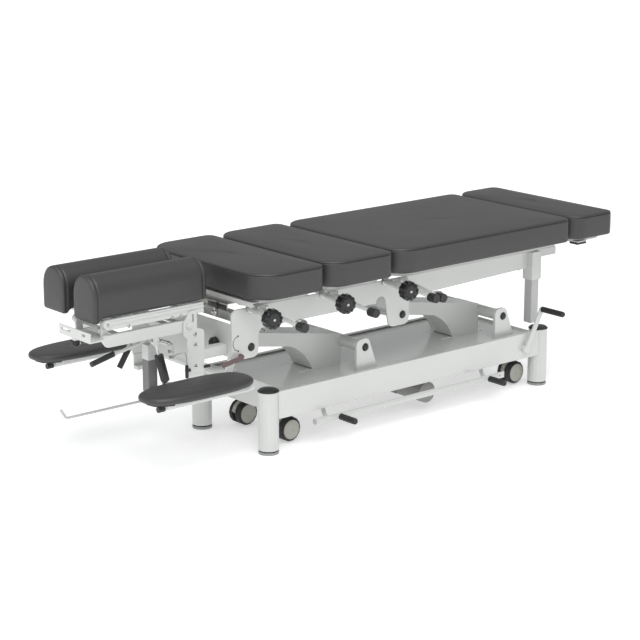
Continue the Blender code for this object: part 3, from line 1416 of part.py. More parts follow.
# Casters on two carriages that slide on the guide tubes under the tray
for end, x, stem_x in (("head", caster_x, stem_xs[0]), ("foot", caster_far_x, stem_xs[1])):
    axle = caster_radius + caster_float
    carriage = f"caster_carriage_{end}"
    shapes = [box((stem_x - carriage_width / 2, -carriage_half, carriage_bottom),
                  (stem_x + carriage_width / 2, carriage_half,
                   carriage_bottom + carriage_height))]
    for side in (-1, 1):
        shapes.append(rod((stem_x, side * caster_side / 2, carriage_bottom + overrun),
                          (stem_x, side * caster_side / 2, floor_top - sheet - arm_end),
                          caster_stem))
    piece(carriage, "grey", shapes, pivot=(stem_x, 0, carriage_bottom), holder="base_tray",
          cuts=[bore((stem_x, side * caster_side, carriage_bottom - overrun),
                     (stem_x, side * caster_side, carriage_bottom + carriage_height - sheet),
                     caster_stem, pin_sides) for side in (-1, 1)])
    for name, side in (("near", -1), ("far", 1)):
        y = side * caster_side
        hood = caster_gap / 2 - overrun / 2
        shell = caster_radius + overrun
        reach = math.degrees(math.asin(min(1, (axle - 0.012) / shell)))
        outline = moved(arc((0, 0), shell, 12, 168, 6) + [(-caster_radius * 0.5, -arm_end),
                                                         (0, -caster_fork),
                                                         (caster_radius * 0.5, -arm_end)],
                        x, axle)
        shapes = [extruded(outline, "y", y - hood, y + hood),
                  rod((stem_x, y, axle + caster_radius - sheet),
                      (stem_x, y, carriage_bottom + carriage_height - sheet - gap), caster_stem,
                      pin_sides),
                  turned([(0, 0), (caster_fork, 0), (caster_fork, 0.012), (0, 0.012)],
                         (stem_x, y, carriage_bottom - 0.012 - gap), (0, 0, 1))]
        housing = f"caster_housing_{name}_{end}"
        piece(housing, "beige", shapes, pivot=(stem_x, y, carriage_bottom), holder=carriage,
              cuts=[bore((x, y - caster_gap, axle), (x, y + caster_gap, axle), lever_pin,
                         wheel_sides)])
        half = caster_gap / 2
        wide = half + caster_wheel
        hub = caster_radius * 0.62
        profile = [(0, -wide + tread_round / 2), (hub, -wide + tread_round / 2), (hub, -wide),
                   (caster_radius - tread_round, -wide), (caster_radius, -wide + tread_round),
                   (caster_radius, -half), (lever_pin, -half)]
        profile += [(radius, -along) for radius, along in reversed(profile)]
        piece(f"caster_wheels_{name}_{end}", "black",
              [turned(profile, (x, y, axle), (0, 1, 0), wheel_sides)], pivot=(x, y, axle),
              holder=housing)

# Foot bar: a tube on two cranked brackets under the near skirt, with two rubber sleeved pegs
brackets = (bar_head + lug_foot + sheet, bar_foot - lug_foot + sheet)
shapes = [rod((bar_head, -bar_side, bar_height), (bar_foot, -bar_side, bar_height), bar_radius)]
for x in brackets:
    middle = x + arm_end
    shapes.append(swept(bent([(middle, -bar_pivot_side - arm_end * 0.4, bar_pivot_height),
                              (middle, -bar_pivot_side - bracket_out, bar_height - sheet),
                              (middle, -bar_side, bar_height)], bracket_bend, 2),
                        bracket_radius))
    shapes.append(rod((x - arm_end * 1.5, -bar_pivot_side, bar_pivot_height),
                      (middle + arm_end, -bar_pivot_side, bar_pivot_height), lever_pin,
                      small_sides))
    shapes.append(rod((middle - lever_eye, -bar_pivot_side, bar_pivot_height),
                      (middle + lever_eye, -bar_pivot_side, bar_pivot_height), lever_eye))
for x in (peg_head_x, peg_foot_x):
    shapes.append(turned([(0, 0), (peg_radius * 0.8, 0), (peg_radius, peg_radius * 0.3),
                          (peg_radius, peg_length - peg_radius * 0.4),
                          (peg_radius * 0.8, peg_length), (0, peg_length)],
                         (x, -bar_side, bar_height), (0, -1, 0)))
shapes.append(box((bar_foot - bar_radius, -bar_side - sheet, bar_height - bar_radius * 0.95),
                  (bar_foot + bar_flat, -bar_side + sheet, bar_height + bar_radius * 0.95)))
piece("foot_bar", "white", shapes, pivot=(0, -bar_pivot_side, bar_pivot_height),
      holder="base_tray",
      cuts=[rod((bar_foot + bar_flat * 0.35, -bar_side - arm_end, bar_height),
                (bar_foot + bar_flat * 0.35, -bar_side + arm_end, bar_height), sheet)])
# Caster lever on the near skirt: flat bar, shaft through the skirt, round grip
stand = tray_half + lock_stand
low = (lock_x, -stand - lock_thickness / 2, lock_height)
high = (lock_bar_top_x, -stand - lock_thickness / 2, lock_bar_top)
grip_start = (high[0], -stand - lock_thickness / 2, high[2])
piece("caster_lever", "white", [
    bar(low, high, lock_bar, lock_thickness, (1, 0, 0)),
    rod((low[0], -stand - lock_thickness, low[2]), (low[0], -tray_half - gap, low[2]),
        lock_bar * 0.75),
    rod((low[0], -stand, low[2]), (low[0], -tray_half + lever_width, low[2]), lock_shaft,
        pin_sides),
    rod((high[0], -stand - lock_thickness * 1.2, high[2]), (high[0], -stand, high[2]),
        lock_bar / 2),
    turned([(0, 0), (lock_grip * 0.9, 0), (lock_grip, lock_grip * 0.4),
            (lock_grip, lock_grip_length - lock_grip * 0.5),
            (lock_grip * 0.75, lock_grip_length), (0, lock_grip_length)],
           grip_start, (0, -1, 0))], pivot=low, holder="base_tray")

# Hooked rod: a hub on the armrest gusset level under the frame, a long run and a curled tip
rod_hub = (rod_pivot_x, 0, rod_pivot_height)
piece("hooked_release_rod", "grey", [
    swept(bent([rod_hub, (rod_pivot_x - rod_fall, 0, rod_height),
                (rod_hook - head_reach, 0, rod_height),
                (rod_radius * 0.875 - head_reach, 0, rod_height + rod_hook_rise)], rod_bend, 4),
          rod_radius),
    rod((rod_hub[0], -rod_hub_half, rod_hub[2]), (rod_hub[0], rod_hub_half, rod_hub[2]),
        arm_end)],
      pivot=rod_hub, holder="upper_frame",
      cuts=[bore((rod_hub[0], -rod_hub_half * 2, rod_hub[2]),
                 (rod_hub[0], rod_hub_half * 2, rod_hub[2]), lever_pin, small_sides)])

# Lift actuator: motor and housing hung from the tray, rod with a long eye on the horn pin
horn = (pivots_low[0] + horn_tip[0], 0, pivot_height + horn_tip[1] - actuator_sink)
back = Vector((actuator_back_x, 0, actuator_back_height))
ahead = Vector(horn)
along = (ahead - back).normalized()
piece("lift_actuator", "grey", [
    rod(back, back + along * tube_length, actuator_tube),
    rod(back - Vector((0, bracket_half + arm_sheet, 0)),
        back + Vector((0, bracket_half + arm_sheet, 0)), horn_pin, pin_sides),
    rod((motor_x, -motor_outer, motor_height), (motor_x, -motor_inner, motor_height),
        motor_radius),
    extruded(filleted([(motor_x - motor_radius, motor_height - motor_radius * 0.8, 0.012),
                       (motor_x + motor_radius * 0.7, motor_height - motor_radius * 0.8, 0.012),
                       (motor_x + motor_radius * 0.7, actuator_back_height + actuator_tube,
                        0.008),
                       (motor_x - motor_radius, actuator_back_height + actuator_tube, 0.008)],
                      3), "y", -motor_inner - overrun, actuator_tube)],
      pivot=tuple(back), holder="base_tray",
      cuts=[rod(back + along * (lug_foot * 1.8), back + along * (tube_length + overrun),
                actuator_rod + gap)])
eye = horn_pin + actuator_play
piece("lift_actuator_rod", "steel", [
    rod(back + along * lug_foot * 2, ahead - along * (eye + sheet / 3), actuator_rod),
    rod((horn[0], -arm_end, horn[2]), (horn[0], arm_end, horn[2]), eye + arm_sheet)],
      pivot=horn, holder="lift_actuator",
      cuts=[rod((horn[0], -lever_width, horn[2]), (horn[0], lever_width, horn[2]), eye)])
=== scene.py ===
import json
import math

import bmesh
import bpy
import numpy as np
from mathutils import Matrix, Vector, noise

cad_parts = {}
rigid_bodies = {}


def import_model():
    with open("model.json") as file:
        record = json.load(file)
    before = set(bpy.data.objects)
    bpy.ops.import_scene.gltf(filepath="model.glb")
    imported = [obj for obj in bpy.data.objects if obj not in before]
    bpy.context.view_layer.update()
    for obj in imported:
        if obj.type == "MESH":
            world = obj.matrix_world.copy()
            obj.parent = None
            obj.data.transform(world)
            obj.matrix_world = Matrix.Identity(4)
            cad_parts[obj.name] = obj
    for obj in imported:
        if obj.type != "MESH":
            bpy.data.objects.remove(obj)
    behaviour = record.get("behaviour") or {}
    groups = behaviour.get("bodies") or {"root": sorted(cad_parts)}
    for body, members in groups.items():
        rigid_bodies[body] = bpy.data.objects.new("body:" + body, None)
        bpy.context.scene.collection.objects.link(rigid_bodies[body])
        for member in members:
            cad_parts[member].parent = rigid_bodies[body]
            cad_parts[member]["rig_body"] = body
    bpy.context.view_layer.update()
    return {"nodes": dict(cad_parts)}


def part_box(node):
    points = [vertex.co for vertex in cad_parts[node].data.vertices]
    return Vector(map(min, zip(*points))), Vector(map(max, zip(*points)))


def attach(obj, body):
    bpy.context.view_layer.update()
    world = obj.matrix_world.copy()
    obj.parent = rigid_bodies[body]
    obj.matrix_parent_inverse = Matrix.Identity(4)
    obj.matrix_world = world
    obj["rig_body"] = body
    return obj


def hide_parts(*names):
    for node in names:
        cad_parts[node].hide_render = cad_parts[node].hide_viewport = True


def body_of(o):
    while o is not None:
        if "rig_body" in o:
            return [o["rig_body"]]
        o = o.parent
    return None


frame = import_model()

print("frame loaded")


# Shader maths: a wire is an output socket, and a sum of wires adds its Math nodes
class Wire:
    def __init__(self, graph, socket):
        self.graph, self.socket = graph, socket

    def op(self, name, *values):
        return self.graph.node("Math", {"operation": name}, dict(enumerate(values)))

    def __add__(self, other):
        return self.op("ADD", self, other)

    def __sub__(self, other):
        return self.op("SUBTRACT", self, other)

    def __rsub__(self, other):
        return self.op("SUBTRACT", other, self)

    def __mul__(self, other):
        return self.op("MULTIPLY", self, other)

    def __gt__(self, other):
        return self.op("GREATER_THAN", self, other)

    def __lt__(self, other):
        return self.op("LESS_THAN", self, other)

    __radd__, __rmul__ = __add__, __mul__


class Graph:
    def __init__(self, name):
        self.material = bpy.data.materials.new(name)
        self.material.use_nodes = True
        self.tree = self.material.node_tree
        self.shader = self.tree.nodes["Principled BSDF"]
        self.place = self.node("TexCoord", out="Object")
        split = self.node("SeparateXYZ", values={0: self.place}).socket.node
        self.x, self.y, self.z = (Wire(self, socket) for socket in split.outputs)

    def node(self, kind, settings=None, values=None, out=0):
        made = self.tree.nodes.new("ShaderNode" + kind)
        for key, value in (settings or {}).items():
            setattr(made, key, value)
        for key, value in (values or {}).items():
            self.feed(made.inputs[key], value)
        return Wire(self, made.outputs[out])

    def feed(self, socket, value):
        if isinstance(value, Wire):
            self.tree.links.new(value.socket, socket)
        else:
            socket.default_value = value

    def noise(self, scale, detail=2.0, roughness=0.5):
        return self.node("TexNoise", values={"Vector": self.place, "Scale": scale,
                                             "Detail": detail, "Roughness": roughness})

    def cells(self, scale):
        return self.node("TexVoronoi", {"feature": "SMOOTH_F1"},
                         {"Vector": self.place, "Scale": scale}, "Distance")

    def tint(self, mask, under, over):
        return self.node("Mix", {"data_type": "RGBA"}, {0: mask, 6: under, 7: over}, 2)

    def done(self, colour, roughness, bumps=(), edge=0.0, metallic=0.0, **fixed):
        self.feed(self.shader.inputs["Base Color"], colour)
        self.feed(self.shader.inputs["Roughness"], roughness)
        self.feed(self.shader.inputs["Metallic"], metallic)
        for key, value in fixed.items():
            self.feed(self.shader.inputs[key.replace("_", " ")], value)
        normal = self.node("Bevel", {"samples": 4}, {"Radius": edge}) if edge else None
        for height, depth in bumps:
            values = {"Height": height, "Distance": depth, "Strength": 1.0}
            if normal:
                values["Normal"] = normal
            normal = self.node("Bump", values=values)
        if normal:
            self.feed(self.shader.inputs["Normal"], normal)
        return self.material


def rgb(red, green, blue):
    return (red, green, blue, 1.0)


def shade(colour, factor):
    return rgb(*(channel * factor for channel in colour[:3]))


# Finishes: colours are linear, sizes in metres
enamelLook = {
    "white": rgb(0.635, 0.647, 0.630), "roughness": 0.30, "shine": 0.55, "peel": 420,
    "peelDepth": 0.00005, "edge": 0.0007, "blotch": 5.0, "blotchDetail": 3.0, "spread": 0.02,
    "roughSpread": 0.08,
}
hideLook = {
    "colour": rgb(0.0255, 0.0250, 0.0255), "roughness": 0.46, "shine": 0.85, "grain": 950,
    "grainDepth": 0.00010, "grainRough": 0.08, "crease": 38, "creaseDetail": 4.0,
    "creaseRough": 0.6, "creaseDepth": 0.00025, "blotch": 7.0, "blotchDetail": 3.0,
    "spread": 0.08, "roughSpread": 0.12,
}
mouldedLook = {
    "grain": 2400, "grainDetail": 3.0, "grainDepth": 0.00003, "edge": 0.0005, "blotch": 12.0,
    "dark": 0.9, "light": 1.1, "roughSpread": 0.1,
}
metalLook = {
    "brush": 160, "brushDetail": 4.0, "brushDepth": 0.00002, "edge": 0.0003, "dark": 0.88,
    "light": 1.08, "roughSpread": 0.12,
}
paintBlack, capBlack = rgb(0.012, 0.012, 0.013), rgb(0.016, 0.016, 0.018)


def enamel(name, marks=(), colour=enamelLook["white"], roughness=enamelLook["roughness"],
           shine=enamelLook["shine"]):
    g, look = Graph(name), enamelLook
    blotch = g.noise(look["blotch"], look["blotchDetail"])
    tone = g.tint(blotch, shade(colour, 1 - look["spread"]), shade(colour, 1 + look["spread"]))
    rough = (blotch - 0.5) * look["roughSpread"] + roughness
    for mask, over, overRough in marks:
        spot = mask(g)
        tone = g.tint(spot, tone, over)
        rough = rough + spot * (overRough - rough)
    return g.done(tone, rough, [(g.noise(look["peel"]), look["peelDepth"])], look["edge"],
                  Specular_IOR_Level=shine)


def hide(name):
    g, look = Graph(name), hideLook
    pebble = g.cells(look["grain"])
    crease = g.noise(look["crease"], look["creaseDetail"], look["creaseRough"])
    blotch = g.noise(look["blotch"], look["blotchDetail"])
    tone = g.tint(blotch, shade(look["colour"], 1 - look["spread"]),
                  shade(look["colour"], 1 + look["spread"]))
    rough = (look["roughness"] + (blotch - 0.5) * look["roughSpread"]
             + pebble * look["grainRough"])
    return g.done(tone, rough, [(crease, look["creaseDepth"]), (pebble, look["grainDepth"])],
                  Specular_IOR_Level=look["shine"])


def moulded(name, colour, roughness, grain=mouldedLook["grain"],
            depth=mouldedLook["grainDepth"]):
    g, look = Graph(name), mouldedLook
    blotch = g.noise(look["blotch"])
    tone = g.tint(blotch, shade(colour, look["dark"]), shade(colour, look["light"]))
    rough = (blotch - 0.5) * look["roughSpread"] + roughness
    return g.done(tone, rough, [(g.noise(grain, look["grainDetail"]), depth)], look["edge"])


def bareMetal(name, colour, roughness):
    g, look = Graph(name), metalLook
    lines = g.noise(look["brush"], look["brushDetail"])
    tone = g.tint(lines, shade(colour, look["dark"]), shade(colour, look["light"]))
    rough = (lines - 0.5) * look["roughSpread"] + roughness
    return g.done(tone, rough, [(lines, look["brushDepth"])], look["edge"], 1.0)


# Masks of pieces that one solid holds in several finishes, with their places from the frame
def low(node):
    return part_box(node)[0]


def high(node):
    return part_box(node)[1]


legLook = {"capHeight": 0.0105, "capRough": 0.40, "grooveTop": 0.0122, "grooveRough": 0.5,
           "footHeight": 0.0082, "footGrey": rgb(0.30, 0.30, 0.30), "footRough": 0.35}
legTop = high("leg_near_head").z
legWhite = enamel("legEnamel", [
    (lambda g: g.z > legTop - legLook["capHeight"], capBlack, legLook["capRough"]),
    (lambda g: g.z < legLook["grooveTop"], capBlack, legLook["grooveRough"]),
    (lambda g: g.z < legLook["footHeight"], legLook["footGrey"], legLook["footRough"]),
])

# Ends dipped in black: material, axis of the cut, length of the end from its tip, roughness
dippedEnds = {
    "caster_lever": ("leverEnamel", "y", 0.0940, 0.55),
    "head_release_lever": ("releaseLeverEnamel", "x", 0.0765, 0.5),
    "head_drop_lever": ("dropLeverEnamel", "z", 0.053, 0.5),
    "armrest_tube_near": ("armrestEnamel", "x", 0.055, 0.45),
    "chest_cocking_lever": ("chestLeverEnamel", "y", 0.030, 0.35),
    "lumbar_cocking_lever": ("lumbarLeverEnamel", "y", 0.030, 0.35),
    "pelvic_cocking_lever": ("pelvicLeverEnamel", "y", 0.030, 0.35),
    "pelvic_lock_cocking_lever": ("pelvic_lockLeverEnamel", "y", 0.030, 0.35),
}


def dipped(node):
    name, axis, length, rough = dippedEnds[node]
    edge = getattr(low(node), axis) + length
    return enamel(name, [(lambda g: getattr(g, axis) < edge, capBlack, rough)])


barLook = {"pegFrom": -0.2105, "pegRough": 0.55}
barWhite = enamel("barEnamel", [
    (lambda g: g.y < barLook["pegFrom"], capBlack, barLook["pegRough"])])

boardLook = {"colour": rgb(0.60, 0.605, 0.595), "roughness": 0.42}
slideLook = {"latchIn": 0.058, "latchDown": 0.0128, "latchRough": 0.45}
slideWhite = enamel("slideEnamel", [
    (lambda g: (g.y < low("foot_slide_frame").y + slideLook["latchIn"])
     * (g.z < high("foot_slide_frame").z - slideLook["latchDown"]),
     capBlack, slideLook["latchRough"])], **boardLook)

postLook = {"in": 0.045, "top": 0.3595, "silver": rgb(0.50, 0.505, 0.50), "roughness": 0.16}
frameWhite = enamel("frameEnamel", [
    (lambda g: (g.x > high("upper_frame").x - postLook["in"]) * (g.z < postLook["top"]),
     postLook["silver"], postLook["roughness"])])

boxLook = {"in": 0.031, "top": 0.337, "grey": rgb(0.17, 0.17, 0.17), "roughness": 0.45}
carrierWhite = enamel("carrierEnamel", [
    (lambda g: (g.x < low("head_carrier").x + boxLook["in"]) * (g.z < boxLook["top"]),
     boxLook["grey"], boxLook["roughness"])])

# Plain finishes: colour, roughness, and the grain where it isn't the usual one
white = enamel("whiteEnamel")
trayWhite = enamel("trayEnamel", roughness=0.13, shine=1.0)
boardWhite = enamel("boardEnamel", **boardLook)
greyEnamel = enamel("greyEnamel", colour=rgb(0.26, 0.26, 0.255), roughness=0.45)
railSilver = enamel("silverEnamel", colour=rgb(0.52, 0.52, 0.51), roughness=0.35)
black = moulded("blackPlastic", paintBlack, 0.36)
gloss = moulded("blackGloss", paintBlack, 0.16)
rubber = moulded("blackRubber", rgb(0.018, 0.018, 0.020), 0.62, 1500, 0.00006)
blackPaint = moulded("blackPaint", rgb(0.013, 0.013, 0.015), 0.30, 600, 0.00005)
steel = bareMetal("brightSteel", rgb(0.62, 0.62, 0.61), 0.22)
zinc = bareMetal("zincSteel", rgb(0.50, 0.49, 0.46), 0.34)
beige = moulded("beigePlastic", rgb(0.42, 0.405, 0.36), 0.42, 1800, 0.00004)
hubGrey = moulded("hubPlastic", rgb(0.43, 0.425, 0.385), 0.34, 1800, 0.00004)
mauve = moulded("mauveGrip", rgb(0.155, 0.105, 0.105), 0.55, 1500, 0.00006)
board = moulded("greyBoard", rgb(0.30, 0.30, 0.295), 0.6, 900, 0.00008)
hideFinish = hide("charcoalHide")

finishOf = {
    "base_tray": trayWhite, "lift_actuator": greyEnamel, "hooked_release_rod": railSilver,
    "lift_actuator_rod": steel, "gas_spring_rod": steel, "gas_spring_sleeve": blackPaint,
    "head_clamp_handle": black, "armrest_release_grip": mauve, "foot_bar": barWhite,
    "frame_lock_knob": black, "foot_slide_frame": slideWhite, "upper_frame": frameWhite,
    "head_carrier": carrierWhite, **{node: dipped(node) for node in dippedEnds},
}
finishOf["armrest_tube_far"] = finishOf["armrest_tube_near"]
for section in ("chest", "lumbar", "pelvic"):
    finishOf[f"{section}_drop_frame"] = boardWhite
    finishOf[f"{section}_tension_knob"] = gloss
finishOfKind = {"leg_": legWhite, "base_pin": black, "upper_pin": black, "caster_housing": beige,
                "caster_wheels": rubber, "caster_carriage": greyEnamel, "bolster_board": board}


def finishFor(node):
    for kind, finish in finishOfKind.items():
        if node.startswith(kind):
            return finish
    return finishOf.get(node, white)


for node in frame["nodes"]:
    shown = bpy.data.objects[node]
    if not shown.material_slots:
        shown.data.materials.append(None)
    for place in shown.material_slots:
        place.material = finishFor(node)
print("finishes set")


# Meshes
def makePiece(name, mesh, finish, body, smooth=30):
    data = bpy.data.meshes.new(name)
    bmesh.ops.remove_doubles(mesh, verts=mesh.verts, dist=1e-6)
    bmesh.ops.recalc_face_normals(mesh, faces=mesh.faces)
    mesh.to_mesh(data)
    mesh.free()
    piece = bpy.data.objects.new(name, data)
    bpy.context.scene.collection.objects.link(piece)
    data.materials.append(finish)
    data.shade_smooth()
    data.set_sharp_from_angle(angle=math.radians(smooth))
    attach(piece, body)
    return piece


def loft(mesh, rings):
    loops = [[mesh.verts.new(point) for point in ring] for ring in rings]
    count = len(loops[0])
    for lower, upper in zip(loops, loops[1:]):
        for i in range(count):
            j = (i + 1) % count
            mesh.faces.new((lower[i], lower[j], upper[j], upper[i]))
    mesh.faces.new(loops[0][::-1])
    mesh.faces.new(loops[-1])


def facing(axis):
    axis = Vector(axis).normalized()
    return Vector((0, 0, 1)).rotation_difference(axis).to_matrix()


def revolve(mesh, profile, place, axis, steps=32, squeeze=None):
    turn, place = facing(axis), Vector(place)
    rings = []
    for radius, height in profile:
        ring = []
        for i in range(steps):
            angle = math.tau * i / steps
            r = radius * (squeeze(angle) if squeeze else 1)
            ring.append(place + turn @ Vector((r * math.cos(angle), r * math.sin(angle), height)))
        rings.append(ring)
    loft(mesh, rings)


def tube(mesh, points, radius, steps=12):
    points = [Vector(point) for point in points]
    rings, side = [], None
    for i, point in enumerate(points):
        ahead = (points[min(i + 1, len(points) - 1)] - points[max(i - 1, 0)]).normalized()
        if side is None:
            side = ahead.orthogonal().normalized()
        side = (side - ahead * side.dot(ahead)).normalized()
        other = ahead.cross(side)
        rings.append([point + side * (radius * math.cos(math.tau * k / steps))
                      + other * (radius * math.sin(math.tau * k / steps)) for k in range(steps)])
    loft(mesh, rings)


def brick(mesh, lowCorner, highCorner, bevel=0.0008):
    made = bmesh.ops.create_cube(mesh, size=1.0)["verts"]
    middle = (Vector(lowCorner) + Vector(highCorner)) / 2
    size = Vector(highCorner) - Vector(lowCorner)
    for vert in made:
        vert.co = middle + Vector(a * b for a, b in zip(vert.co, size))
    edges = list({edge for vert in made for edge in vert.link_edges})
    bmesh.ops.bevel(mesh, geom=edges, offset=bevel, segments=2, affect="EDGES", profile=0.5)


def bodyOf(node):
    return body_of(bpy.data.objects[node])[0]


# Upholstery: closed skins lofted from rings, puffed as cloth with their seams held, then
# evened and puckered along the seams. Rows are inset, height and hold of the cloth
clothLook = {
    "frames": 14, "quality": 4, "mass": 0.2, "stiffness": 12, "bending": 0.6, "pressure": 2.4,
    "evenings": 80, "leastRadius": 0.001, "smooth": 60,
}
padLook = {
    "spacing": 0.011, "cornerSteps": 10, "slack": 0.0012, "crown": 0.007, "topSlack": 0.002,
    "base": ((0.030, 0.0, 1), (0.010, 0.0, 1), (0.003, 0.0005, 1), (0.0005, 0.003, 1)),
    "sides": (0.10, 0.2, 0.3, 0.4, 0.5, 0.6, 0.7, 0.8, 0.88), "sideInset": 0.0004,
    "sideBulge": 0.0007, "seamDown": 0.003, "seamDepth": 0.0022, "seamHalf": 0.0015,
    "seamLead": 2.2, "leadHold": 0.5, "edgeRound": 0.009, "edgeRise": 0.55, "edgeInset": 0.0006,
    "edgeSteps": 5, "edgeHold": 0.3, "topRings": 26, "topRise": 0.55, "cap": 0.0028,
    "pucker": 0.0003, "puckerReach": 0.030, "puckerWave": 70, "puckerFrom": 0.002,
    "puckerUp": 3, "packed": 0.85, "footCorner": 0.029,
}
headCorners = {"chest": 0.078, "lumbar": 0.072, "pelvic": 0.072, "foot": 0.060}


def roundedPlan(halfX, halfY, corners, inset):
    x, y = halfX - inset, halfY - inset
    least = clothLook["leastRadius"]
    radius = {side: max(corner - inset, least) for side, corner in corners.items()}
    order = ((1, -1, -90), (1, 1, 0), (-1, 1, 90), (-1, -1, 180))
    points, turns = [], padLook["cornerSteps"]
    for number, (signX, signY, start) in enumerate(order):
        for i in range(turns + 1):
            angle = math.radians(start + 90 * i / turns)
            points.append((signX * (x - radius[signX]) + radius[signX] * math.cos(angle),
                           signY * (y - radius[signX]) + radius[signX] * math.sin(angle)))
        nextX, nextY, _ = order[(number + 1) % 4]
        angle = math.radians(start + 90)
        there = (nextX * (x - radius[nextX]) + radius[nextX] * math.cos(angle),
                 nextY * (y - radius[nextX]) + radius[nextX] * math.sin(angle))
        straight = 2 * (halfY - corners[signX]) if nextX == signX else \
            2 * halfX - sum(corners.values())
        here, count = points[-1], max(2, round(straight / padLook["spacing"]))
        for i in range(1, count):
            share = i / count
            points.append((here[0] + (there[0] - here[0]) * share,
                           here[1] + (there[1] - here[1]) * share))
    return points


def puffed(piece, held, cap):
    rest = [vert.co.copy() for vert in piece.data.vertices]
    group = piece.vertex_groups.new(name="held")
    for index, weight in held.items():
        group.add([index], weight, "REPLACE")
    cloth = piece.modifiers.new("puff", "CLOTH")
    cloth.settings.quality = clothLook["quality"]
    cloth.settings.mass = clothLook["mass"]
    cloth.settings.tension_stiffness = clothLook["stiffness"]
    cloth.settings.compression_stiffness = clothLook["stiffness"]
    cloth.settings.bending_stiffness = clothLook["bending"]
    cloth.settings.use_pressure = True
    cloth.settings.uniform_pressure_force = clothLook["pressure"]
    cloth.settings.vertex_group_mass = group.name
    cloth.settings.effector_weights.gravity = 0
    cloth.collision_settings.use_collision = False
    cloth.point_cache.frame_start, cloth.point_cache.frame_end = 1, clothLook["frames"]
    for number in range(1, clothLook["frames"] + 1):
        bpy.context.scene.frame_set(number)
    shape = piece.evaluated_get(bpy.context.evaluated_depsgraph_get()).to_mesh()
    moved = [vert.co.copy() for vert in shape.vertices]
    piece.modifiers.clear()
    bpy.context.scene.frame_set(1)
    steps = []
    for start, end in zip(rest, moved):
        step = end - start
        steps.append(step * min(1.0, cap / max(step.length, 1e-9)))
    for vert, start, step in zip(piece.data.vertices, rest, evened(piece, np.array(steps))):
        vert.co = start + Vector(step)
    piece.vertex_groups.clear()


def evened(piece, steps):
    # Each point shares its step with its neighbours: the tops stay full and free of creases
    one, other = np.array([edge.vertices[:] for edge in piece.data.edges]).T
    joined = np.bincount(np.concatenate((one, other)), minlength=len(steps))[:, None]
    for _ in range(clothLook["evenings"]):
        total = np.zeros_like(steps)
        np.add.at(total, one, steps[other])
        np.add.at(total, other, steps[one])
        steps = (steps + total / joined) / 2
    return steps


def upholster(name, node, rings, pins, look, flatTo=-math.inf, finished=None):
    mesh = bmesh.new()
    loft(mesh, rings)
    piece = makePiece(name, mesh, hideFinish, bodyOf(node), clothLook["smooth"])
    held = {}
    for r, (ring, weight) in enumerate(zip(rings, pins)):
        for i, point in enumerate(ring):
            hold = 1.0 if point.z < flatTo else weight
            if hold:
                held[r * len(ring) + i] = hold
    puffed(piece, held, look["cap"])
    if finished:
        finished(piece)
    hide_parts(node)


def pucker(place, distance, seed):
    wave = noise.noise(Vector(place) * padLook["puckerWave"] + Vector((seed, 0, 0)))
    return wave * padLook["pucker"] * math.exp(-distance / padLook["puckerReach"])


def cushion(section, corners):
    node, look = f"{section}_cushion", padLook
    lower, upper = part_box(node)
    middle = (lower + upper) / 2
    halfX = (upper - lower).x / 2 - look["slack"]
    halfY = (upper - lower).y / 2 - look["slack"]
    bottom, height = lower.z, upper.z - look["crown"] - look["topSlack"] - lower.z
    rows = list(look["base"])
    for share in look["sides"]:
        bulge = look["sideBulge"] * math.sin(math.pi * share)
        rows.append((look["sideInset"] - bulge, height * share, 0.0))
    seam = height - look["seamDown"]
    half, side = look["seamHalf"], look["sideInset"]
    rows += [(0.0, seam - half * look["seamLead"], look["leadHold"]), (side, seam - half, 1),
             (look["seamDepth"], seam, 1), (side, seam + half, 1)]
    edge = look["edgeRound"]
    for i in range(1, look["edgeSteps"] + 1):
        turn = math.radians(90 * i / look["edgeSteps"])
        rows.append((look["edgeInset"] + edge * (1 - math.cos(turn)),
                     seam + half + edge * look["edgeRise"] * math.sin(turn), look["edgeHold"]))
    rings = [[Vector((middle.x + x, middle.y + y, bottom + rise))
              for x, y in roundedPlan(halfX, halfY, corners, inset)] for inset, rise, _ in rows]
    pins = [weight for _, _, weight in rows]
    base, edgeTop = rings[-1], rows[-1][1] + bottom
    for i in range(1, look["topRings"]):
        share = 1 - i / look["topRings"]
        rise = look["crown"] * look["topRise"] * (1 - share ** 3)
        rings.append([Vector((middle.x + (point.x - middle.x) * share,
                              middle.y + (point.y - middle.y) * share, edgeTop + rise))
                      for point in base])
        pins.append(0.0)

    def puckered(piece):
        for vert in piece.data.vertices:
            co = vert.co
            toEdge = min(halfX - abs(co.x - middle.x), halfY - abs(co.y - middle.y))
            distance = abs(co.z - bottom - seam) + max(0.0, toEdge)
            out = Vector((co.x - middle.x, co.y - middle.y,
                          (co.z - middle.z) * look["puckerUp"])).normalized()
            if co.z > bottom + look["puckerFrom"]:
                vert.co = co + out * pucker(co, distance, halfX)

    upholster(f"{section}CushionSkin", node, rings, pins, look, finished=puckered)


for section, corner in headCorners.items():
    cushion(section, {-1: corner, 1: padLook["footCorner"]})
print("cushions made")

bolsterLook = {
    "seamAt": 0.013, "welt": 0.0011, "straightShare": 0.45, "bottomCorner": 0.008, "top": 0.88,
    "cap": 0.003, "lip": 0.014, "lipFrom": 0.016, "lipTo": 0.026, "slack": 0.0018,
    "round": ((0.0, 0.006, 0), (0.0007, 0.0035, 0), (0.003, 0.0012, 0), (0.0055, 0.0004, 0),
              (0.009, 0.0002, 0.3)),
    "weltRows": ((-2.2, 0.0003), (-1.2, 0.0016), (-0.6, 0.0004), (0, 0.0), (0.6, 0.0004),
                 (1.2, 0.0016), (2.2, 0.0003)),
    "sideFrom": 0.008, "sideHold": 0.2, "sideSteps": 26, "faceRings": (0.12, 0.35, 0.6, 0.85),
    "faceCentre": 0.45, "flat": 0.004, "packed": 0.9, "cornerSteps": 4, "wallSteps": 5,
    "archSteps": 32, "floorSteps": 6,
}


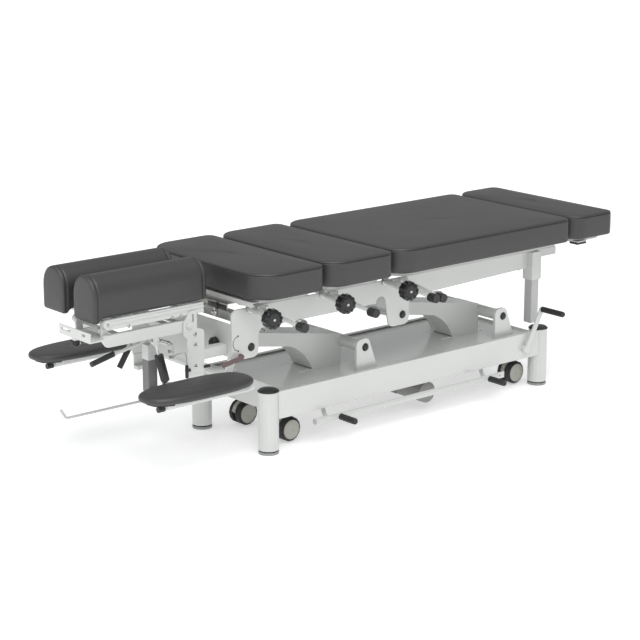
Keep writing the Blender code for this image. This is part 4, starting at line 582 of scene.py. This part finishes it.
def bolsterSection(width, height, inset):
    half = width / 2 - inset
    straight = height * bolsterLook["straightShare"]
    rise = height - inset - straight
    corner = max(bolsterLook["bottomCorner"] - inset, clothLook["leastRadius"])
    turns, walls, arches, floors = (bolsterLook[key] for key in (
        "cornerSteps", "wallSteps", "archSteps", "floorSteps"))
    right = [(half - corner + corner * math.cos(angle), inset + corner + corner * math.sin(angle))
             for angle in (math.radians(90 * i / turns - 90) for i in range(turns + 1))]
    right += [(half, corner + inset + (straight - corner - inset) * i / walls)
              for i in range(1, walls)]
    left = [(-y, z) for y, z in reversed(right)]
    arch = [(half * math.cos(angle), straight + rise * math.sin(angle) ** bolsterLook["top"])
            for angle in (math.pi * i / arches for i in range(arches + 1))]
    floor = [((half - corner) * (2 * i / floors - 1), inset) for i in range(1, floors)]
    return right + arch + left + floor


def hung(z, height, share):
    return z - bolsterLook["lip"] * share * max(0, 1 - z / (height * bolsterLook["straightShare"]))


def bolster(name, node):
    look = bolsterLook
    lower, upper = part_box(node)
    middle = (lower + upper) / 2
    base, slack = lower.z + look["lip"], look["slack"]
    width, height, length = (upper - lower).y, upper.z - base, (upper - lower).x
    seam, side = look["seamAt"], list(look["round"])  # along the bolster, inset, hold
    side += [(seam + share * look["welt"], inset, 1) for share, inset in look["weltRows"]]
    first, last = seam + look["sideFrom"], length - seam - look["sideFrom"]
    side.append((first, 0.0, look["sideHold"]))
    steps = look["sideSteps"]
    rows = side + [(first + (last - first) * i / steps, 0.0, 0) for i in range(1, steps)]
    rows += [(length - along, inset, weight) for along, inset, weight in reversed(side)]
    face = bolsterSection(width, height, side[0][1])
    centre = height * look["faceCentre"]
    rings, pins = [], []

    def faceRing(x, bulge, share, hang):
        rings.append([Vector((x + bulge * slack * (1 - share ** 2), middle.y + y * share,
                              base + centre + (hung(z, height, hang) - centre) * share))
                      for y, z in face])
        pins.append(0)

    for share in look["faceRings"]:
        faceRing(lower.x + slack, -1, share, 1)
    for along, inset, weight in rows:
        hang = min(1, max(0, (look["lipTo"] - along) / (look["lipTo"] - look["lipFrom"])))
        rings.append([Vector((lower.x + slack + along * (length - 2 * slack) / length,
                              middle.y + y, base + hung(z, height, hang)))
                      for y, z in bolsterSection(width, height, inset)])
        pins.append(weight)
    for share in reversed(look["faceRings"]):
        faceRing(upper.x - slack, 1, share, 0)
    upholster(name, node, rings, pins, look, base + look["flat"])


bolster("bolsterNearSkin", "bolster_near")
bolster("bolsterFarSkin", "bolster_far")
print("bolsters made")

restLook = {
    "power": 2.8, "steps": 96, "pleats": 46, "pleatDepth": 0.0009, "pleatFrom": 0.0005,
    "pleatTo": 0.009, "pleatEnd": 0.55, "pleatFade": 0.3, "thick": 0.022, "topRings": 8,
    "topRise": 0.0003, "cap": 0.0025, "packed": 0.8,
    "rows": ((0.020, 0.0, 1), (0.006, 0.0, 1), (0.0022, 0.0012, 1), (0.0008, 0.004, 0.3),
             (0.0004, 0.008, 0), (0.0010, 0.012, 0), (0.0030, 0.0155, 0), (0.0065, 0.0180, 0),
             (0.0120, 0.0197, 0), (0.020, 0.0208, 0), (0.032, 0.0214, 0), (0.046, 0.0217, 0)),
}


def superPlan(halfX, halfY, inset):
    points, power = [], restLook["power"]
    for i in range(restLook["steps"]):
        angle = math.tau * i / restLook["steps"]
        c, s = math.cos(angle), math.sin(angle)
        points.append(((halfX - inset) * math.copysign(abs(c) ** (2 / power), c),
                       (halfY - inset) * math.copysign(abs(s) ** (2 / power), s)))
    return points


def pleat(i, x, halfX, rise):
    look = restLook
    if not look["pleatFrom"] < rise < look["pleatTo"]:
        return 0.0
    ends = min(1.0, max(0.0, abs(x) / halfX - look["pleatEnd"]) / look["pleatFade"])
    wave = math.sin(math.tau * look["pleats"] * i / look["steps"])
    return look["pleatDepth"] * ends * (wave - 1) * (1 - rise / look["pleatTo"])


def armrestPad(name, node):
    look = restLook
    lower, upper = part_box(node)
    middle = (lower + upper) / 2
    halfX, halfY = (upper - lower).x / 2, (upper - lower).y / 2
    rings, pins = [], []
    for inset, rise, weight in look["rows"]:
        ring = []
        for i, (x, y) in enumerate(superPlan(halfX, halfY, inset)):
            out = Vector((x, y)).normalized() * pleat(i, x, halfX, rise)
            ring.append(Vector((middle.x + x + out.x, middle.y + y + out.y,
                                lower.z + rise * (upper.z - lower.z) / look["thick"])))
        rings.append(ring)
        pins.append(weight)
    base, top = rings[-1], rings[-1][0].z
    for i in range(1, look["topRings"]):
        share = 1 - i / look["topRings"]
        rings.append([Vector((middle.x + (p.x - middle.x) * share,
                              middle.y + (p.y - middle.y) * share,
                              top + look["topRise"] * (1 - share * share))) for p in base])
        pins.append(0)
    upholster(name, node, rings, pins, look)


armrestPad("armrestPadNearSkin", "armrest_pad_near")
armrestPad("armrestPadFarSkin", "armrest_pad_far")
print("armrest pads made")

# Small fittings: screws, collars, hub discs, latch parts and marks, each on the body it sits on
metalSmooth = 40


def turned(name, node, finish, profile, place, axis, steps=28):
    mesh = bmesh.new()
    revolve(mesh, profile, place, axis, steps)
    makePiece(name, mesh, finish, bodyOf(node), metalSmooth)


def bricks(name, node, finish, corners, bevel=0.0008):
    mesh = bmesh.new()
    for lowCorner, highCorner in corners:
        brick(mesh, lowCorner, highCorner, bevel)
    makePiece(name, mesh, finish, bodyOf(node))


# Tension knobs: metal centre in the recess, and a collar where the spindle leaves the plate
knobLook = {
    "axis": (-0.018, -0.133, -0.0045), "recess": 0.0130, "plateFace": -0.153, "centre": 0.0044,
    # shares of the radius, and heights
    "centreRows": ((1, -0.0006), (1, 0.0010), (0.86, 0.0022), (0.40, 0.0026), (0.34, 0.0012)),
    "collar": 0.0135, "collarLength": 0.013, "collarStart": 0.0002, "collarBevel": 0.0014,
    "collarEnd": 0.90, "collarBore": 0.72,
}


def knobFitting(section):
    node = f"{section}_tension_knob"
    lower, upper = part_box(node)
    middle = (lower + upper) / 2
    out = Vector(knobLook["axis"]).normalized()
    turned(f"{section}KnobCentre", node, steel,
           [(knobLook["centre"] * share, height) for share, height in knobLook["centreRows"]],
           middle + out * knobLook["recess"], out)
    wide, length, bevel = (knobLook[key] for key in ("collar", "collarLength", "collarBevel"))
    turned(f"{section}SpindleCollar", "upper_frame", steel,
           [(wide * knobLook["collarEnd"], knobLook["collarStart"]), (wide, bevel),
            (wide, length - bevel), (wide * knobLook["collarEnd"], length),
            (wide * knobLook["collarBore"], length)],
           middle + out * ((knobLook["plateFace"] - middle.y) / out.y), out)


for section in ("chest", "lumbar", "pelvic"):
    knobFitting(section)

# Screw heads, bolts and pin heads: a dome on a short rim; head plate sockets are black discs of
# painted shade.
# Rows of screws are node, finish, y of the face, then x, z, radius and rise of each
framePlate, headScrewX, headScrewZ = -0.1531, -0.6185, (0.4008, 0.3705, 0.3061)
buttonLook = {"dome": 0.45, "steps": 20, "sunk": 0.0004, "rim": 0.96, "round": 0.97,
              "turns": (15, 40, 65, 84)}
screwLook = {
    "framePlateScrews": ("upper_frame", zinc, framePlate, [
        (-0.3683, 0.4445, 0.0042, 0.0022), (-0.4885, 0.2763, 0.0030, 0.0014)]),
    "headPlateScrews": ("head_carrier", steel, -0.1392, [
        (headScrewX, z, 0.0064, 0.0030) for z in headScrewZ]),
    # Sockets: flat black discs on the screw domes, painted shade in place of the recesses
    "headPlateSocketShade": ("head_carrier", black, -0.1421, [
        (headScrewX, z, 0.0026, 0.0005) for z in headScrewZ]),
    "railBolts": ("head_drop_frame", zinc, -0.1345, [
        (x, 0.4615, 0.0050, 0.0028) for x in (-0.8413, -0.6937, -0.6640)]),
    "dropAxleScrew": ("head_drop_frame", zinc, low("head_drop_frame").y, [
        (-0.9115, 0.476, 0.0052, 0.0024)]),
}
pinLook = {"hinge": (0.015, -0.008, -0.008), "out": 0.0184, "radius": 0.0062, "rise": 0.0034}


def button(mesh, place, axis, radius, rise):
    look, dome = buttonLook, buttonLook["dome"]
    profile = [(radius * look["rim"], -look["sunk"]), (radius, 0), (radius, rise * dome)]
    for turn in (math.radians(degrees) for degrees in look["turns"]):
        profile.append((radius * math.cos(turn) * look["round"],
                        rise * (dome + (1 - dome) * math.sin(turn))))
    revolve(mesh, profile, place, axis, look["steps"])


def buttons(name, node, finish, items):
    mesh = bmesh.new()
    for place, axis, radius, rise in items:
        button(mesh, place, axis, radius, rise)
    makePiece(name, mesh, finish, bodyOf(node))


pinHeads = []
for section in ("chest", "lumbar", "pelvic"):
    lower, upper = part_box(f"{section}_cocking_lever")
    hinge = Vector((lower.x, upper.y, upper.z)) + Vector(pinLook["hinge"])
    for side in (-1, 1):
        pinHeads.append((hinge + Vector((side * pinLook["out"], 0, 0)), (side, 0, 0),
                         pinLook["radius"], pinLook["rise"]))
buttons("leverPinHeads", "upper_frame", steel, pinHeads)
for name, (node, finish, y, rows) in screwLook.items():
    buttons(name, node, finish,
            [((x, y, z), (0, -1, 0), radius, rise) for x, z, radius, rise in rows])

# Hubs of the wheels: grey disc and beige rim on both faces of a pair
hubLook = {"radius": 0.0298, "rise": 0.0010, "rim": 0.0034, "sunk": -0.0022, "steps": 48}


def hubDiscs(node):
    lower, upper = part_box(node)
    middle = (lower + upper) / 2
    radius, rise, rim, sunk = (hubLook[key] for key in ("radius", "rise", "rim", "sunk"))
    disc = [(radius - rim, sunk), (radius - rim, rise * 0.2), (radius * 0.62, rise * 0.9),
            (radius * 0.2, rise * 0.9), (radius * 0.16, rise * 0.3)]
    edge = [(radius - rim, sunk), (radius, sunk), (radius, rise * 0.6),
            (radius - rim * 0.3, rise), (radius - rim * 0.8, rise), (radius - rim, rise * 0.3)]
    words = "".join(word.capitalize() for word in node.split("_"))
    stem = words[0].lower() + words[1:]
    for name, finish, make, profile in ((f"{stem}HubDisc", hubGrey, revolve, disc),
                                        (f"{stem}HubRim", beige, ringOf, edge)):
        mesh = bmesh.new()
        for side, face in ((-1, lower.y), (1, upper.y)):
            make(mesh, profile, Vector((middle.x, face, middle.z)), (0, side, 0),
                 hubLook["steps"])
        makePiece(name, mesh, finish, bodyOf(node), metalSmooth)


def ringOf(mesh, profile, place, axis, steps):
    turn = facing(axis)
    loops = []
    for i in range(steps):
        angle = math.tau * i / steps
        loops.append([mesh.verts.new(place + turn @ Vector((r * math.cos(angle),
                                                            r * math.sin(angle), height)))
                      for r, height in profile])
    count = len(profile)
    for i in range(steps):
        here, there = loops[i], loops[(i + 1) % steps]
        for k in range(count):
            mesh.faces.new((here[k], there[k], there[(k + 1) % count], here[(k + 1) % count]))


for end in ("head", "foot"):
    for side in ("near", "far"):
        hubDiscs(f"caster_wheels_{side}_{end}")

# Foot bar: disc that closes the head end of its tube
barEndLook = {"sunk": 0.0002, "y": -0.2, "z": 0.0745, "radius": 0.0088, "rise": 0.0012}
buttons("footBarEndDisc", "foot_bar", railSilver, [
    ((low("foot_bar").x + barEndLook["sunk"], barEndLook["y"], barEndLook["z"]), (-1, 0, 0),
     barEndLook["radius"], barEndLook["rise"])])

# Clamp handle: chrome collar where the grip starts, and a black knob with six lobes at its pivot
clampLook = {
    "y": -0.050, "z": 0.4175, "knobX": -0.9625, "collarBack": 0.0510, "lobes": 6,
    "lobeDepth": 0.08, "knobSteps": 40,
    "collar": ((0.0036, 0.0), (0.0074, 0.0008), (0.0074, 0.0052), (0.0036, 0.0060)),
    "knob": ((0.0085, -0.0085), (0.0125, -0.0070), (0.0125, 0.0045), (0.0100, 0.0075),
             (0.0045, 0.0085)),
}
turned("clampCollar", "head_clamp_handle", steel, clampLook["collar"],
       (high("head_clamp_handle").x - clampLook["collarBack"], clampLook["y"], clampLook["z"]),
       (1, 0, 0))
mesh = bmesh.new()
revolve(mesh, clampLook["knob"], (clampLook["knobX"], clampLook["y"], clampLook["z"]),
        (0, -1, 0), clampLook["knobSteps"],
        lambda angle: 1 - clampLook["lobeDepth"] * (math.cos(angle * clampLook["lobes"]) > 0))
makePiece("clampKnob", mesh, black, bodyOf("head_clamp_handle"), metalSmooth)

# Latch under the head edge of the chest cushion: bent plate, black catch, hanging knob
latchLook = {
    "plate": (((-0.5070, -0.1445, 0.4698), (-0.4795, 0.1445, 0.4730)),
              ((-0.5070, -0.1445, 0.4560), (-0.5045, 0.1445, 0.4725))),
    "catch": (((-0.5105, -0.141, 0.4535), (-0.5068, -0.055, 0.4665)),
              ((-0.5130, -0.104, 0.4500), (-0.5065, -0.092, 0.4690))),
    "knob": ((0.0040, 0.0), (0.0040, 0.0100), (0.0105, 0.0110), (0.0112, 0.0150),
             (0.0105, 0.0185), (0.0055, 0.0195), (0.0055, 0.0245), (0.0030, 0.0255)),
    "knobAt": (-0.5095, -0.0877, 0.4540),
}
bricks("chestLatchPlate", "chest_drop_frame", zinc, latchLook["plate"])
bricks("chestLatchCatch", "chest_drop_frame", black, latchLook["catch"])
turned("chestLatchKnob", "chest_drop_frame", zinc, latchLook["knob"], latchLook["knobAt"],
       (0, 0, -1))

# Release cable: from the valve behind the head plate to its sleeve beside the plate
cableLook = {
    "path": ((-0.6780, -0.1150, 0.3400), (-0.6750, -0.1290, 0.3490), (-0.6680, -0.1420, 0.3550),
             (-0.6600, -0.1460, 0.3545), (-0.6560, -0.1465, 0.3440), (-0.6552, -0.1465, 0.3300),
             (-0.6552, -0.1465, 0.3120)),
    "radius": 0.0016, "sides": 10, "smooth": 60,
    "sleeve": ((0.0030, 0), (0.0046, 0.0015), (0.0050, 0.006), (0.0050, 0.036), (0.0042, 0.0385),
               (0.0020, 0.0390)),
    "sleeveAt": (-0.6552, -0.1465, 0.3180), "sleeveSteps": 24,
    "bracket": ((-0.6565, -0.1465, 0.2960), (-0.6400, -0.1380, 0.3040)),
}
mesh = bmesh.new()
tube(mesh, cableLook["path"], cableLook["radius"], cableLook["sides"])
makePiece("releaseCable", mesh, zinc, bodyOf("head_carrier"), cableLook["smooth"])
mesh = bmesh.new()
revolve(mesh, cableLook["sleeve"], cableLook["sleeveAt"], (0, 0, -1), cableLook["sleeveSteps"])
brick(mesh, *cableLook["bracket"])
makePiece("releaseCableSleeve", mesh, black, bodyOf("head_carrier"), metalSmooth)

# Release valve: slanted barrel, two small nozzles and the coil between them
valveLook = {
    "barrel": ((0.0030, -0.014), (0.0066, -0.0135), (0.0070, -0.010), (0.0070, 0.022),
               (0.0050, 0.0235), (0.0038, 0.0240), (0.0038, 0.034), (0.0020, 0.0345)),
    "barrelAt": (-0.7060, -0.1040, 0.3860), "barrelAxis": (0.9, 0, -0.38), "barrelSteps": 28,
    "nozzle": ((0.0028, 0.0), (0.0052, 0.0006), (0.0052, 0.0050), (0.0030, 0.0056),
               (0.0030, 0.0120), (0.0015, 0.0125)),
    "nozzlesAt": ((-0.6874, -0.104, 0.3549), (-0.6834, -0.104, 0.3372)),
    "nozzleAxis": (0.3, -1, 0), "nozzleSteps": 24,
    "coilAt": (-0.6760, -0.112, 0.3700), "coilRadius": 0.0022, "coilTurn": 0.9,
    "coilDrop": 0.00055, "coilSteps": 64, "wire": 0.0006, "wireSides": 6,
}


def releaseValve(look):
    mesh = bmesh.new()
    revolve(mesh, look["barrel"], look["barrelAt"], look["barrelAxis"], look["barrelSteps"])
    for place in look["nozzlesAt"]:
        revolve(mesh, look["nozzle"], place, look["nozzleAxis"], look["nozzleSteps"])
    x, y, z = look["coilAt"]
    radius = look["coilRadius"]
    tube(mesh, [(x + radius * math.cos(i * look["coilTurn"]),
                 y + radius * math.sin(i * look["coilTurn"]), z - i * look["coilDrop"])
                for i in range(look["coilSteps"])], look["wire"], look["wireSides"])
    makePiece("releaseValve", mesh, steel, bodyOf("head_carrier"), metalSmooth)


releaseValve(valveLook)
tieLook = {"block": ((-0.5900, -0.1445, 0.2960), (-0.5690, -0.1385, 0.3035)), "bevel": 0.0012}
bricks("tieBlock", "head_carrier", black, [tieLook["block"]], tieLook["bevel"])
frameKnobLook = {"place": (-0.2450, -0.150, 0.3842), "radius": 0.0070, "rise": 0.0100}
buttons("frameLowerKnob", "upper_frame", zinc, [
    (frameKnobLook["place"], (0, 0, -1), frameKnobLook["radius"], frameKnobLook["rise"])])

# Direction marks pressed on the near plate: a double arrow round the latch and a short arc
markLook = {
    "face": framePlate, "rise": 0.0003, "sunk": 0.0002, "steps": 20, "tip": 1.7,
    # centre, radius, start and end in degrees, half width, half width of the arrowhead
    "arcs": (((-0.4713, 0.3507), 0.0226, 105, 255, 0.0009, 0.0034),
             ((-0.3900, 0.3690), 0.0120, 30, 75, 0.0007, 0.0026)),
}


def arcMark(mesh, centre, radius, start, end, width, head):
    face, back = markLook["face"] - markLook["rise"], markLook["face"] + markLook["sunk"]
    middle = Vector((centre[0], 0, centre[1]))

    def rayAt(degrees):
        turn = math.radians(degrees)
        return Vector((math.cos(turn), 0, math.sin(turn)))

    rows = []
    for i in range(markLook["steps"] + 1):
        ray = rayAt(start + (end - start) * i / markLook["steps"])
        rows.append([middle + ray * r + Vector((0, y, 0))
                     for y, r in ((face, radius - width), (face, radius + width),
                                  (back, radius + width), (back, radius - width))])
    loft(mesh, rows)
    for angle, along in ((start, -1), (end, 1)):
        ray, ahead = rayAt(angle), rayAt(angle + 90) * along
        root = middle + ray * radius
        flat = [root - ray * head, root + ahead * head * markLook["tip"], root + ray * head]
        loft(mesh, [[Vector((p.x, y, p.z)) for p in flat] for y in (face, back)])


mesh = bmesh.new()
for arc in markLook["arcs"]:
    arcMark(mesh, *arc)
makePiece("directionMarks", mesh, black, bodyOf("upper_frame"), metalSmooth)
print("fittings made")

# Stage: pale floor, soft studio light, camera at the angle of the photograph
stageLook = {"floor": rgb(0.80, 0.80, 0.80), "floorRoughness": 0.9, "floorShine": 0.1,
             "glowColour": rgb(1.0, 1.0, 1.0), "glow": 0.42, "floorHalf": 40.0,
             "sky": rgb(0.98, 0.99, 1.0), "world": 0.55,
             "camera": (-3.7765, -4.469, 1.836), "target": (-0.0388, 0.0, 0.3179),
             "focal": 1945.1, "imageWidth": 640, "sensor": 36.0}


def plainStage():
    mesh = bmesh.new()
    bmesh.ops.create_grid(mesh, x_segments=1, y_segments=1, size=stageLook["floorHalf"])
    data = bpy.data.meshes.new("studioFloor")
    mesh.to_mesh(data)
    mesh.free()
    floor = bpy.data.objects.new("studioFloor", data)
    bpy.context.scene.collection.objects.link(floor)
    g = Graph("floorPaper")
    data.materials.append(g.done(stageLook["floor"], stageLook["floorRoughness"],
                                 Specular_IOR_Level=stageLook["floorShine"],
                                 Emission_Color=stageLook["glowColour"],
                                 Emission_Strength=stageLook["glow"]))
    world = bpy.data.worlds.new("studioWorld")
    world.use_nodes = True
    background = world.node_tree.nodes["Background"]
    background.inputs[0].default_value = stageLook["sky"]
    background.inputs[1].default_value = stageLook["world"]
    bpy.context.scene.world = world


# Lamps: place, power and size
lampLook = {"keyLamp": ((-2.2, -2.8, 3.2), 34, 1.8), "headLamp": ((-3.6, 0.4, 1.8), 12, 1.6)}
sunLook = {"strength": 1.35, "angle": 50, "tilt": (0.30, -0.16, 0.0)}


def lamp(name, place, power, size):
    data = bpy.data.lights.new(name, "AREA")
    data.energy, data.size = power, size
    made = bpy.data.objects.new(name, data)
    bpy.context.scene.collection.objects.link(made)
    made.location = place
    aim = Vector(stageLook["target"]) - Vector(place)
    made.rotation_mode = "QUATERNION"
    made.rotation_quaternion = aim.to_track_quat("-Z", "Y")


def skyLamp():
    data = bpy.data.lights.new("skyLamp", "SUN")
    data.energy, data.angle = sunLook["strength"], math.radians(sunLook["angle"])
    made = bpy.data.objects.new("skyLamp", data)
    bpy.context.scene.collection.objects.link(made)
    made.rotation_euler = sunLook["tilt"]


def studioCamera():
    data = bpy.data.cameras.new("studioCamera")
    made = bpy.data.objects.new("studioCamera", data)
    bpy.context.scene.collection.objects.link(made)
    data.sensor_width = stageLook["sensor"]
    data.lens = stageLook["focal"] / stageLook["imageWidth"] * stageLook["sensor"]
    made.location = stageLook["camera"]
    aim = Vector(stageLook["target"]) - Vector(stageLook["camera"])
    made.rotation_mode = "QUATERNION"
    made.rotation_quaternion = aim.to_track_quat("-Z", "Y")
    bpy.context.scene.camera = made


plainStage()
for name, (place, power, size) in lampLook.items():
    lamp(name, place, power, size)
skyLamp()
studioCamera()
bpy.context.scene.view_settings.view_transform = "Standard"
print("stage set")
